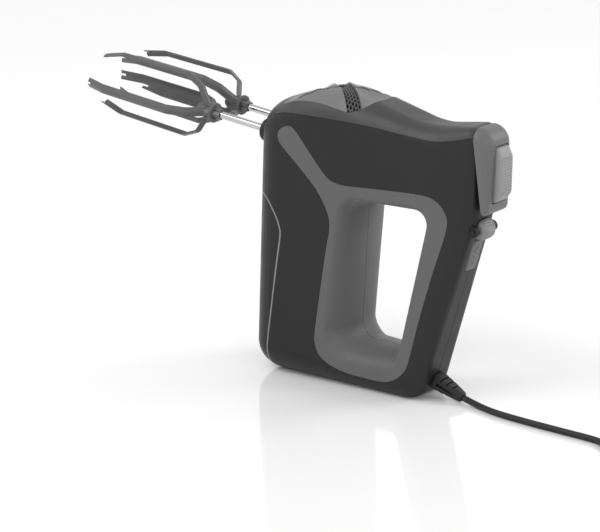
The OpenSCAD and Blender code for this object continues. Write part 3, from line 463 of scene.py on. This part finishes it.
# ---------- the finger opening ----------
# Corners of the opening: at the sides, at the middle plane, corner radii there
MOUTH = [(4.5, 134.5), (-8, 30), (4, 17.5), (49, 18), (75, 134.5)]
THROAT = [(11.5, 130), (6.5, 38), (12, 30), (48.5, 30), (70.5, 130)]
CORNER_R = [(15, 9), (15, 10), (15, 10), (12, 9), (13, 9)]
SLOW = [(1, 0), (1, 1), (1, 1), (0, 1), (0, 0)]
ROLL = 0.24


def opening_tool(amount=0.0, levels=18):
    """The opening as a solid: a broad round roll at the front and below, a tight one above and behind."""
    def share(u, slow):
        u = min(1.0, u / (1.0 if slow else ROLL))
        return math.sqrt(max(0.0, 1 - (1 - u) ** 2))
    rings = []
    depths = [1 - math.cos(math.radians(90 * k / levels)) for k in range(levels + 1)]
    order = [(u, -1) for u in depths] + [(u, 1) for u in depths[-2::-1]]
    for u, side in order:
        corners = []
        for m, t, r, s in zip(MOUTH, THROAT, CORNER_R, SLOW):
            fx, fz = share(u, s[0]), share(u, s[1])
            corners.append((m[0] + (t[0] - m[0]) * fx, m[1] + (t[1] - m[1]) * fz, r[0] + (r[1] - r[0]) * fx))
        line = grown(rounded(corners, 9), amount)
        over = 0.02 if u == 0 else 0.0
        rings.append([(x, side * ((half_w(x)) * (1 - u) + over), z) for x, z in line])
    lid = [[(x, y * 3, z) for x, y, z in rings[0]]]
    return rings_object("tool", lid + rings + [[(x, y * 3, z) for x, y, z in rings[-1]]])


# ---------- frames of the drive, the handle and the cord's exit ----------
def turned(x, z, degrees):
    return Matrix.Translation((x, 0, z)) @ Matrix.Rotation(math.radians(degrees), 4, "Y")


DRIVE = turned(-33, 161.5, 6)
HANDLE = turned(93, 100, 16.4)
RELIEF = turned(66, 12.4, 111)
TURBO = HANDLE @ Matrix.Translation((-0.6, 0, 3))
TURBO_HALF_W, TURBO_HALF_L, TURBO_CORNER = 6.0, 11.5, 3.0
SPINDLE_Y, PORT_R = 15.0, 8.15
DIAL = Matrix.Translation((100.8, 0, 121))


def spindle(side):
    """Frame of one spindle, along the drive."""
    return DRIVE @ Matrix.Translation((0, side * SPINDLE_Y, 0))


def placed(rings, place):
    return [[place @ Vector(p) for p in ring] for ring in rings]


def lathe(profile, axis="X", segments=64, flutes=0, depth=0.0):
    """Rings of a turned form: the profile's points are place along the axis and radius, and it may be fluted."""
    rings = []
    for place, radius, *ribbed in profile:
        ring = []
        for k in range(segments):
            a = 2 * math.pi * k / segments
            r = radius - (depth * ribbed[0] * (0.5 - 0.5 * math.cos(flutes * a)) if ribbed else 0)
            u, v = r * math.cos(a), r * math.sin(a)
            ring.append({"X": (place, u, v), "Y": (u, place, v), "Z": (u, v, place)}[axis])
        rings.append(ring)
    return rings


def round_rect(half_a, half_b, radius, steps=6):
    corners = [(half_a, half_b, radius), (-half_a, half_b, radius), (-half_a, -half_b, radius),
               (half_a, -half_b, radius)]
    return rounded(corners, steps)


def turbo_plan(amount):
    return round_rect(TURBO_HALF_W + amount, TURBO_HALF_L + amount, TURBO_CORNER + amount)


# ---------- the body's panels ----------
INLAY_T, TRIM_W, TRIM_T = 1.5, 1.1, 1.0
SEAM_HALF = 0.16


def build_body():
    outer = pillow("outer", BODY_CORNERS)
    solid = cut(outer, opening_tool())
    cavity = cut(pillow("cavity", BODY_CORNERS, WALL), opening_tool(WALL))
    shell = cut(copy_of(solid, "shell"), cavity)

    # soft inlays, and the trim line in front of them
    under = cut(pillow("under", BODY_CORNERS, INLAY_T), opening_tool(INLAY_T))
    inlay = cut(keep_inside(copy_of(solid, "inlay"), prism(inlay_outline(-GAP))), under, keep_tool=True)
    bpy.data.objects.remove(under)
    cut(shell, cut(prism(inlay_outline(GAP)), pillow("under", BODY_CORNERS, INLAY_T)))
    cut(shell, opening_tool(INLAY_T))
    above = cut(prism(cover_outline(TRIM_W)), prism(cover_outline(0)))
    cut(above, pillow("under", BODY_CORNERS, TRIM_T))
    keep_inside(above, box_tool((-58, -FAR, 3.4), (FAR, FAR, FAR)))
    strip = keep_inside(copy_of(solid, "strip"), above, keep_tool=True)
    cut(shell, above)

    # top cover, nose and front cover
    nose_box = [(-FAR, NOSE_Z), (NOSE_X, NOSE_Z), (NOSE_X, FAR), (-FAR, FAR)]
    nose_hole = prism([Vector(p) for p in nose_box], -NOSE_HALF - GAP, NOSE_HALF + GAP)
    top = cut(keep_inside(copy_of(shell, "top"), prism(top_outline(-GAP))), nose_hole, keep_tool=True)
    nose_room = prism(grown([Vector(p) for p in nose_box], -GAP), -NOSE_HALF, NOSE_HALF)
    nose = keep_inside(copy_of(shell, "nose"), nose_room)
    front = cut(keep_inside(copy_of(shell, "front"), prism(cover_outline(-GAP))), nose_hole, keep_tool=True)
    cut(shell, nose_hole)
    cut(shell, prism(top_outline(GAP)))
    cut(shell, prism(cover_outline(0)))
    cut(shell, prism(bezel_outline(GAP)))
    cut(shell, block_window(96))
    pocket = [[(x, a, b) for a, b in turbo_plan(0.25)] for x in (-8, 6)]
    cut(shell, rings_object("tool", placed(pocket, TURBO)))
    cut(top, prism(bezel_outline(GAP)))

    for side in SIDES:
        word = "left" if side < 0 else "right"
        low, high = (-FAR, -SEAM_HALF) if side < 0 else (SEAM_HALF, FAR)
        half = box_tool((-FAR, low, -FAR), (FAR, high, FAR))
        finish_piece(keep_inside(copy_of(shell, "half"), half, True), word + "_shell", "housing",
                     replaces=[word + "_housing"])
        finish_piece(keep_inside(copy_of(inlay, "half"), half, True), word + "_grip", "grip",
                     replaces=[word + "_grip_inlay"])
        finish_piece(keep_inside(copy_of(strip, "half"), half), word + "_trim_line", "trim",
                     replaces=[word + "_trim_strip"])
    for spare in (shell, inlay, strip):
        bpy.data.objects.remove(spare)

    for side in SIDES:
        cut(nose, rings_object("tool", placed(lathe([(-45, PORT_R), (-12, PORT_R)]), spindle(side))))
    finish_piece(nose, "nose", "nose", replaces=["nose_plate"])
    finish_piece(front, "front_skin", "front", replaces=["front_cover"])
    cut(top, upright(leaf_outline(GAP), 120, 260))
    finish_piece(top, "top_skin", "top", replaces=["top_cover"])
    build_vent(solid)
    bpy.data.objects.remove(solid)


# ---------- the air vent ----------
LEAF_SIDE = [(-33, -24.0), (-21, -24.7), (-9, -24.7), (1, -24.4), (10, -23.2), (17, -20.3), (21.2, -15), (22.8, -8),
             (23.3, 0)]


def leaf_outline(amount=0.0):
    near = [(NOSE_X + 3 * GAP, -22.6)] + LEAF_SIDE
    far = [(x, -y) for x, y in near[-2::-1]]
    return grown(spline(near + far, 4, False), amount)


def distance_to(outline, x, y):
    """From a point of the plan to the nearest place on an outline."""
    p = Vector((x, y))
    best = FAR
    for i, a in enumerate(outline):
        b = outline[(i + 1) % len(outline)]
        along = b - a
        t = max(0.0, min(1.0, (p - a).dot(along) / max(along.length_squared, 1e-9)))
        best = min(best, (p - a - along * t).length)
    return best


class Form:
    """Finds the top of a form under a point of the plan."""

    def __init__(self, obj):
        work = bmesh.new()
        work.from_mesh(obj.data)
        self.tree = BVHTree.FromBMesh(work)
        work.free()

    def top(self, x, y):
        place = self.tree.ray_cast(Vector((x * MM, y * MM, 1)), Vector((0, 0, -1)))[0]
        return place.z / MM


BAND_TURN = math.radians(137)
BAND_CENTRE = Vector((-6.0, -2.5))
SLIT = [(-31, -22.5), (-28, -20.2), (-21, -13.8), (-13.5, -7.4), (-5, -1.6), (3, 2.7), (11, 5.6), (18.5, 7.2)]
SLIT_HALF = (0.25, 0.9, 1.7, 2.0, 2.0, 1.9, 1.3, 0.25)


def slit_outline(amount=0.0):
    """A thin crescent that crosses the grille."""
    path = [Vector(p) for p in SLIT]
    low, high = [], []
    for i, p in enumerate(path):
        d = (path[min(i + 1, len(path) - 1)] - path[max(i - 1, 0)]).normalized()
        across = Vector((-d.y, d.x)) * (SLIT_HALF[i] + amount)
        low.append(p - across)
        high.append(p + across)
    return spline(low, 4, False) + spline(high[::-1], 4, False)


def across_band(x, y):
    p = Vector((x, y)) - BAND_CENTRE
    return p.dot(Vector((-math.sin(BAND_TURN), math.cos(BAND_TURN))))


def vent_depth(outline):
    """How deep the petals are scooped, from nothing at their edges."""
    slit = [Vector(p) for p in SLIT]

    def depth(x, y):
        rim = min(1.0, distance_to(outline, x, y) / 5.0)
        band = min(1.0, max(0.0, abs(across_band(x, y)) - 4.6) / 6.0)
        p = Vector((x, y))
        crest = min(1.0, max(0.0, min((p - q).length for q in slit) - 2.0) / 7.0)
        bowl = math.sin(rim * math.pi / 2) * math.sin(band * math.pi / 2) * math.sin(crest * math.pi / 2)
        return 0.15 + 1.5 * bowl
    return depth


def relief_patch(name, form, outline, depth, thick, step=1.1):
    """A panel that follows the form, sunk by depth(x, y), with its edge on the outline."""
    xs = [p[0] for p in outline]
    ys = [p[1] for p in outline]
    work = bmesh.new()
    loop = [work.verts.new((p[0], p[1], 0)) for p in outline]
    face = work.faces.new(loop)
    cuts = []
    x = min(xs) + step
    while x < max(xs) - 0.3:
        cuts.append(((x, 0, 0), (1, 0, 0)))
        x += step
    y = min(ys) + step
    while y < max(ys) - 0.3:
        cuts.append(((0, y, 0), (0, 1, 0)))
        y += step
    for place, way in cuts:
        bmesh.ops.bisect_plane(work, geom=work.verts[:] + work.edges[:] + work.faces[:], plane_co=place,
                               plane_no=way, dist=1e-5)
    bmesh.ops.remove_doubles(work, verts=work.verts, dist=1e-4)
    work.verts.ensure_lookup_table()
    top = [(v.co.x, v.co.y) for v in work.verts]
    faces = [[v.index for v in f.verts] for f in work.faces]
    edge = [(e.verts[0].index, e.verts[1].index) for e in work.edges if e.is_boundary]
    work.free()
    n = len(top)
    points = [(x, y, form.top(x, y) - depth(x, y)) for x, y in top]
    points += [(x, y, z - thick) for x, y, z in points]
    all_faces = [tuple(f) for f in faces] + [tuple(i + n for i in f[::-1]) for f in faces]
    all_faces += [(a, b, b + n, a + n) for a, b in edge]
    obj = new_object(name, points, all_faces)
    tidy_normals(obj)
    return obj


def band_points(length, width, steps=24):
    """Outline of the grille's band in the plan."""
    u = Vector((math.cos(BAND_TURN), math.sin(BAND_TURN)))
    v = Vector((-u.y, u.x))
    low, high = [], []
    for k in range(steps + 1):
        mid = BAND_CENTRE + u * length * (k / steps - 0.5)
        low.append(mid - v * width / 2)
        high.append(mid + v * width / 2)
    return low + high[::-1]


def build_vent(solid):
    form = Form(solid)
    edge = leaf_outline(-GAP)
    insert = relief_patch("vent", form, edge, vent_depth(edge), 2.4)
    cut(insert, upright(band_points(70, 9.2), 120, 260))
    cut(insert, upright(slit_outline(), 120, 260))
    finish_piece(insert, "vent_petals", "vent", replaces=["vent_insert"], sharp=28)

    grille = relief_patch("grille", form, leaf_outline(-0.9), lambda x, y: 1.5, 1.2, 4.0)
    band = upright(band_points(70, 10.6), 120, 260)
    keep_inside(grille, join_solids(band, upright(slit_outline(0.9), 120, 260)))
    u = Vector((math.cos(BAND_TURN), math.sin(BAND_TURN)))
    v = Vector((-u.y, u.x))
    points, faces = [], []
    for row in range(-9, 10):
        for col in range(-2, 3):
            c = BAND_CENTRE + u * (row * 3.6 + (1.8 if col % 2 else 0)) + v * col * 1.8
            base = len(points)
            for z in (150, 240):
                for a, b in ((-1.4, -0.6), (1.4, -0.6), (1.4, 0.6), (-1.4, 0.6)):
                    p = c + u * a + v * b
                    points.append((p.x, p.y, z))
            faces += [tuple(base + i for i in f) for f in
                      ((3, 2, 1, 0), (4, 5, 6, 7), (0, 1, 5, 4), (1, 2, 6, 5), (2, 3, 7, 6), (3, 0, 4, 7))]
    cut(grille, new_object("tool", points, faces))
    finish_piece(grille, "vent_grille", "mesh", replaces=["vent_mesh"])


# ---------- the controls ----------
EJECT_HALF_W, EJECT_LOW, EJECT_HIGH, EJECT_FACE = 6.5, 141.0, 177.0, 118.0
BLOCK_BACK, BLOCK_GAP = 104, 0.8
# The eject spring's end along the drive, and the radius of its seat in the block
SPRING_END, SPRING_BORE = 140.1, 5.0


def block_window(back):
    """The way through the rear for the thumb block."""
    reach = EJECT_HALF_W + BLOCK_GAP
    return box_tool((back, -reach, EJECT_LOW - BLOCK_GAP), (140, reach, EJECT_HIGH + BLOCK_GAP))


def build_collars():
    """Rings in the nose that guide the shafts, just proud of it."""
    profile = [(-21, 5.1), (-21, 7.9), (-30.2, 7.9), (-30.9, 7.5), (-31.2, 6.8), (-31.2, 6.0), (-30.6, 5.1)]
    made = []
    for side in SIDES:
        made.append(rings_object("collar", placed(lathe(profile, segments=72), spindle(side)), True))
    for obj, name in zip(made, ("left_port_collar", "right_port_collar")):
        finish_piece(obj, name, "dark", replaces=["port_collars"])


def build_bezel():
    bezel = keep_inside(pillow("bezel", BEZEL_CORNERS), prism(bezel_outline(-GAP)))
    cut(bezel, pillow("tool", BEZEL_CORNERS, 2.2))
    cut(bezel, block_window(BLOCK_BACK))
    cut(bezel, rings_object("tool", placed(lathe([(-40, 8.6), (40, 8.6)], "Y"), DIAL)))
    finish_piece(bezel, "bezel_shell", "bezel", replaces=["control_bezel"])


def build_eject_block():
    outline = [(BLOCK_BACK, EJECT_HIGH - 0.2, 0.6, 1.0), (EJECT_FACE - 3.5, EJECT_HIGH, 3.2, 1.4),
               (EJECT_FACE, EJECT_HIGH - 6.5, 5, 1.4), (EJECT_FACE - 0.2, EJECT_LOW + 6, 6, 1.4),
               (EJECT_FACE - 4.5, EJECT_LOW, 4, 1.4), (BLOCK_BACK, EJECT_LOW, 0.6, 1.0)]
    block = pillow("block", outline, 0, 8, 5, lambda x: EJECT_HALF_W)
    points, faces = [], []
    pitch, half, height = 1.9, 0.92, 0.55
    for row in range(-6, 7):
        for col in range(-2, 3):
            y, z = col * pitch, (EJECT_LOW + EJECT_HIGH) / 2 + row * pitch
            base = len(points)
            x = EJECT_FACE - 0.12
            points += [(x, y - half, z - half), (x, y + half, z - half), (x, y + half, z + half),
                       (x, y - half, z + half), (x + height, y, z), (x - 1, y, z)]
            faces += [(base + a, base + b, base + 4) for a, b in ((0, 1), (1, 2), (2, 3), (3, 0))]
            faces += [(base + b, base + a, base + 5) for a, b in ((0, 1), (1, 2), (2, 3), (3, 0))]
    join_solids(block, new_object("tool", points, faces))
    bore = lathe([(SPRING_END - 20, SPRING_BORE), (SPRING_END + 5.4, SPRING_BORE)])
    cut(block, rings_object("tool", placed(bore, DRIVE)))
    finish_piece(block, "eject_block", "button", "ejector", ["eject_button"], sharp=24)


def build_dial():
    profile = []
    for k in range(25):
        y = -6.6 + 13.2 * k / 24
        radius = min(7.0, math.sqrt(7.9 ** 2 - y * y))
        ribbed = 1.0 if abs(y) < 4.2 else 0.0
        profile.append((y, radius, ribbed))
    profile = [(-6.7, 2.4, 0.0)] + profile + [(6.7, 2.4, 0.0)]
    rings = placed(lathe(profile, "Y", 120, 24, 0.5), DIAL)
    finish_piece(rings_object("dial", rings), "selector_barrel", "dial", "speed_selector", ["speed_dial"], sharp=40)


def build_turbo():
    top, edge = 2.1, 1.6
    rings = []
    for k in range(9):
        t = math.radians(90 * k / 8)
        inset = edge * (1 - math.cos(t))
        x = top - edge + edge * math.sin(t)
        plan = round_rect(TURBO_HALF_W - inset, TURBO_HALF_L - inset, TURBO_CORNER - inset * 0.8)
        rings.append([(x, a, b) for a, b in plan])
    rings = [[(-top, a, b) for a, b in turbo_plan(0)]] + rings
    key = rings_object("key", placed(rings, TURBO))
    rings = [[(x, a, b) for a, b in round_rect(2.5, 3, 0.4, 2)] for x in (-5.4, -1.5)]
    join_solids(key, rings_object("tool", placed(rings, TURBO)))
    for row in range(-4, 5):
        rings = []
        for x, r in ((1.6, 0.42), (2.25, 0.36), (2.45, 0.2)):
            rings.append([(x, a, b + row * 1.7) for a, b in round_rect(3.2 if row % 2 == 0 else 1.4, r, r * 0.9, 2)])
        join_solids(key, rings_object("tool", placed(rings, TURBO)))
    finish_piece(key, "turbo_strip", "bezel", "turbo_key", ["turbo_button"])


# ---------- beaters ----------
REACH, HEAD_LEN, CAGE_LEN = 78.0, 12.0, 99.5
TINE_LINE = [(-8, 2.6, 0), (4.5, 5.2, 3), (11, 16.2, 5), (23.5, 22.0, 5), (83, 21.4, 6), (CAGE_LEN, 17.0, 0)]
TINE_SECTION = [(-3.25, -1.15), (-3.25, -0.35), (-0.5, 1.15), (0.5, 1.15), (3.25, -0.35), (3.25, -1.15), (0.45, 0.05),
                (-0.45, 0.05)]


def tine(turn):
    line = []
    for i, (s, r, radius) in enumerate(TINE_LINE):
        if radius:
            line += fillet((s, r), TINE_LINE[i - 1][:2], TINE_LINE[i + 1][:2], radius, 6)
        else:
            line.append(Vector((s, r)))
    rings = []
    for i, p in enumerate(line):
        a, b = line[max(i - 1, 0)], line[min(i + 1, len(line) - 1)]
        d = (b - a).normalized()
        normal = Vector((-d.y, d.x))
        narrow = 0.62 + 0.38 * min(1.0, i / 4)
        rings.append([(-REACH - (p.x + normal.x * t), w * narrow, p.y + normal.y * t) for w, t in TINE_SECTION])
    bar = rings_object("tine", placed(rings, Matrix.Rotation(turn, 4, "X")))
    tip = placed([[(x, y, z) for y, z in ((-1.1, 12), (1.1, 12), (0.7, 22), (-0.7, 22))]
                  for x in (-REACH - CAGE_LEN - 2, -REACH - CAGE_LEN + 3.2)], Matrix.Rotation(turn, 4, "X"))
    return cut(bar, rings_object("tool", tip))


def build_beater(side):
    word = "left" if side < 0 else "right"
    profile = [(-REACH - HEAD_LEN, 2.6), (-REACH - HEAD_LEN + 0.7, 3.9), (-REACH - HEAD_LEN + 2.2, 4.7),
               (-REACH - HEAD_LEN + 4, 5.0), (-REACH - 4.5, 5.0), (-REACH - 3.4, 4.1), (-REACH - 1.2, 4.1),
               (-REACH - 0.4, 5.0), (-REACH + 0.8, 6.4), (-REACH + 1.3, 6.9), (-REACH + 2.3, 7.0),
               (-REACH + 3, 6.4), (-REACH + 3, 2.0)]
    head = rings_object("head", lathe(profile))
    for k in range(4):
        join_solids(head, tine(math.radians(90 * k + (45 if side > 0 else 0))))
    cut(head, rings_object("tool", lathe([(-REACH - HEAD_LEN + 2, 2.52), (0, 2.52)])))
    head.data.transform(Matrix.Diagonal((1 / MM, 1 / MM, 1 / MM, 1)))
    head.data.transform(Matrix.Diagonal((MM, MM, MM, 1)) @ spindle(side))
    finish_piece(head, word + "_whisk", "tine", word + "_beater", [word + "_beater_head"], sharp=28)
    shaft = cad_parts[word + "_beater_shaft"]
    for slot in shaft.material_slots:
        slot.material = MATERIALS["chrome"]


# ---------- the mains lead ----------
CORD_D, LAY = 4.2, 2.1
EXIT = (88.41, 0, 3.80)
LEAD = [EXIT, (93, -0.6, 3), (99, -1.8, 2.4), (106, -3.6, LAY), (116, -6, LAY), (130, -7.4, LAY), (150, -8, LAY),
        (172, -8, LAY), (190, -8, LAY), (198, -9.4, LAY), (205, -13.8, LAY), (210, -18.6, LAY), (215, -23.4, LAY),
        (221, -27.6, LAY), (229, -29.4, LAY)]
COIL_X, COIL_Y = 240.0, 0.0
COIL_RADII = (29.4, 25.2, 21.0, 21.0, 25.2, 29.4)
TAIL = [(251, -29.4, 6), (259, -28.4, 5.2), (267, -25.8, 4), (274.5, -20.8, 3), (281, -14.2, 3),
        (285.2, -6.4, 4.6), (286.8, 0, 6), (287, 6, 7)]
TURN_STEPS, SHIFT_STEPS = 36, 6


def coil_points():
    points = []
    heights = (LAY, LAY, LAY, LAY + CORD_D, LAY + CORD_D, LAY + CORD_D)
    for turn, (radius, height) in enumerate(zip(COIL_RADII, heights)):
        after = min(turn + 1, 5)
        for k in range(TURN_STEPS):
            t = max(0.0, (k - (TURN_STEPS - SHIFT_STEPS)) / SHIFT_STEPS)
            t = t * t * (3 - 2 * t)
            r = radius + (COIL_RADII[after] - radius) * t
            z = height + (heights[after] - height) * t
            a = -math.pi / 2 + 2 * math.pi * k / TURN_STEPS
            points.append((COIL_X + r * math.cos(a), COIL_Y + r * math.sin(a), z))
    points.append((COIL_X, COIL_Y - COIL_RADII[5], LAY + CORD_D))
    return points


def build_cord():
    route = spline([Vector(p) for p in LEAD], 4, False)[:-1] + [Vector(LEAD[-1])]
    route += [Vector((234, -29.5, LAY))] + [Vector(p) for p in coil_points()]
    route += spline([Vector(coil_points()[-1])] + [Vector(p) for p in TAIL], 4, False)[1:]
    data = bpy.data.curves.new("flex", "CURVE")
    data.dimensions = "3D"
    data.bevel_depth = CORD_D / 2 * MM
    data.bevel_resolution = 5
    data.use_fill_caps = True
    line = data.splines.new("POLY")
    line.points.add(len(route) - 1)
    for point, p in zip(line.points, route):
        point.co = (p[0] * MM, p[1] * MM, p[2] * MM, 1)
    line.use_smooth = True
    data.materials.append(MATERIALS["cord"])
    flex = bpy.data.objects.new("mains_flex", data)
    bpy.context.scene.collection.objects.link(flex)
    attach(flex, "housing")
    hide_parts("cord", "cord_coil")
    return flex


def build_tie():
    """A hook-and-loop strap round all the turns, as a closed band with softened edges."""
    low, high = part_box("cord_tie")
    low, high = [v / MM for v in low], [v / MM for v in high]
    mid = [(a + b) / 2 for a, b in zip(low, high)]
    half_b, half_c = (high[1] - low[1]) / 2, (high[2] - low[2]) / 2
    outer = round_rect(half_b, half_c, 2.6, 8)
    inner = round_rect(half_b - 0.85, half_c - 0.85, 1.8, 8)
    x0, x1, soft = low[0] + 0.1, high[0] - 0.1, 0.25
    rings = []
    for x, line, amount in ((x0, inner, 0), (x0, outer, -soft), (x0 + soft, outer, 0), (x1 - soft, outer, 0),
                            (x1, outer, -soft), (x1, inner, 0)):
        rings.append([(x, mid[1] + p[0], mid[2] + p[1]) for p in (grown(line, amount) if amount else line)])
    n = len(rings[0])
    points = [p for ring in rings for p in ring]
    faces = []
    for k in range(len(rings)):
        a, b = k * n, (k + 1) % len(rings) * n
        faces += [(a + i, a + (i + 1) % n, b + (i + 1) % n, b + i) for i in range(n)]
    tie = new_object("tie", points, faces)
    tidy_normals(tie)
    return finish_piece(tie, "cord_strap", "dark", replaces=["cord_tie"])


def build_plug():
    """Flat two-pin plug: a waisted grip with finger steps and a ribbed tail."""
    x, z, start = 287.0, 7.0, -46.0
    stations = [(52.3, 3.0, 3.0, 2.9), (55, 3.5, 3.5, 3.3), (67, 5.4, 5.2, 4.6), (70, 8.5, 5.8, 5.0),
                (73.5, 13.5, 6.5, 5.2), (77, 15.4, 6.8, 5.4), (84, 14.6, 6.3, 5.2), (91, 14.9, 6.3, 5.2),
                (96, 16.6, 6.9, 5.4), (99, 16.9, 6.95, 5.4), (101.2, 16.7, 6.8, 5.3), (102, 15.9, 6.0, 4.8)]
    rings = []
    for y, a, b, r in stations:
        rings.append([(x + p[0], y + start, z + p[1]) for p in round_rect(a, b, r, 8)])
    body = rings_object("plug", rings)
    for k in range(4):
        y = 56.5 + 2.8 * k + start
        rings = [[(x + p[0] * s, y + w, z + p[1] * s) for p in round_rect(9, 9, 4, 4)]
                 for w, s in ((-0.6, 1), (0.6, 1))]
        ring = rings_object("tool", rings)
        neck = 2.7 + 0.3 * k
        core = rings_object("core", [[(x + a, end, z + b) for a, b in round_rect(neck, neck, 2.5, 6)]
                                     for end in (y - 2, y + 2)])
        cut(body, cut(ring, core))
    for k in range(3):
        for top in (-1, 1):
            rings = [[(x + a, 82 + 3.4 * k + b + start, z + top * (6.0 + up)) for a, b in round_rect(w, 0.55, 0.5, 3)]
                     for up, w in ((-0.4, 7.5), (0.65, 7.0))]
            join_solids(body, rings_object("tool", rings))
    return finish_piece(body, "plug_grip", "plug", replaces=["plug_body"], sharp=30)


def build_relief():
    stations = [(-7.5, 3.9, 3.9, 3.8), (1.2, 3.9, 3.9, 3.8), (1.5, 5.5, 5.0, 2.4), (3.5, 5.7, 5.1, 2.2),
                (12, 4.9, 4.4, 2.0), (20, 3.9, 3.7, 2.2), (23.2, 3.5, 3.4, 2.6), (24, 3.0, 3.0, 2.4)]
    rings = [[(p[1], p[0], s) for p in round_rect(a, b, r, 6)] for s, a, b, r in stations]
    relief = rings_object("relief", placed(rings, RELIEF))
    for side in SIDES:
        rings = [[(a, side * (3.6 + far), s) for a, s in ((-1.0, 5.0), (1.0, 5.0), (0.8, 18.5), (-0.8, 18.5))]
                 for far in (0, 6)]
        cut(relief, rings_object("tool", placed(rings, RELIEF)))
        for k in range(3):
            rings = [[(side * (2.8 + far), a, b) for a, b in round_rect(9, 0.55, 0.2, 2)] for far in (0, 6)]
            cut(relief, rings_object("tool", placed(
                [[(q[0], q[1], q[2] + 7.5 + 4.6 * k) for q in ring] for ring in rings], RELIEF)))
    return finish_piece(relief, "cord_guard", "cord", replaces=["strain_relief"])


# ---------- studio ----------
def add_area(name, place, aim, size, power):
    data = bpy.data.lights.new(name, "AREA")
    data.shape = "RECTANGLE"
    data.size, data.size_y = size
    data.energy = power
    light = bpy.data.objects.new(name, data)
    light.location = place
    light.rotation_euler = (Vector(place) - Vector(aim)).to_track_quat("Z", "Y").to_euler()
    bpy.context.scene.collection.objects.link(light)


def build_studio():
    points = [(-4000, -4000, 0), (4000, -4000, 0), (4000, 4000, 0), (-4000, 4000, 0)]
    floor = new_object("floor", points, [(0, 1, 2, 3)])
    floor.data.materials.append(floor_material())
    world = bpy.data.worlds.new("studio")
    world.use_nodes = True
    tree = world.node_tree
    place = add_node(tree, "ShaderNodeTexCoord")
    parts = add_node(tree, "ShaderNodeSeparateXYZ", {0: place.outputs["Generated"]})
    fade = add_node(tree, "ShaderNodeMapRange", {"Value": parts.outputs[2], "From Min": 0.3, "From Max": 0.9,
                                                "To Min": 1.12, "To Max": 0.72}, interpolation_type="SMOOTHSTEP")
    back = tree.nodes["Background"]
    back.inputs["Color"].default_value = (1, 1, 1, 1)
    tree.links.new(fade.outputs[0], back.inputs["Strength"])
    bpy.context.scene.world = world
    aim = (0.02, 0, 0.11)
    add_area("key", (-0.5, -0.9, 1.3), aim, (0.9, 0.6), 9)
    add_area("rim", (0.9, 0.9, 0.9), aim, (0.7, 0.5), 7)
    add_area("side", (1.3, -0.9, 0.6), aim, (0.3, 0.9), 3)
    bpy.context.scene.view_settings.view_transform = "Standard"


# ---------- everything ----------
add_camera()
make_materials()
flex = build_cord()
tie, plug, relief = build_tie(), build_plug(), build_relief()
build_studio()
build_body()
build_collars()
build_bezel()
build_eject_block()
build_dial()
build_turbo()
for beater_side in SIDES:
    build_beater(beater_side)
dress_cad_nodes()
bpy.context.view_layer.update()
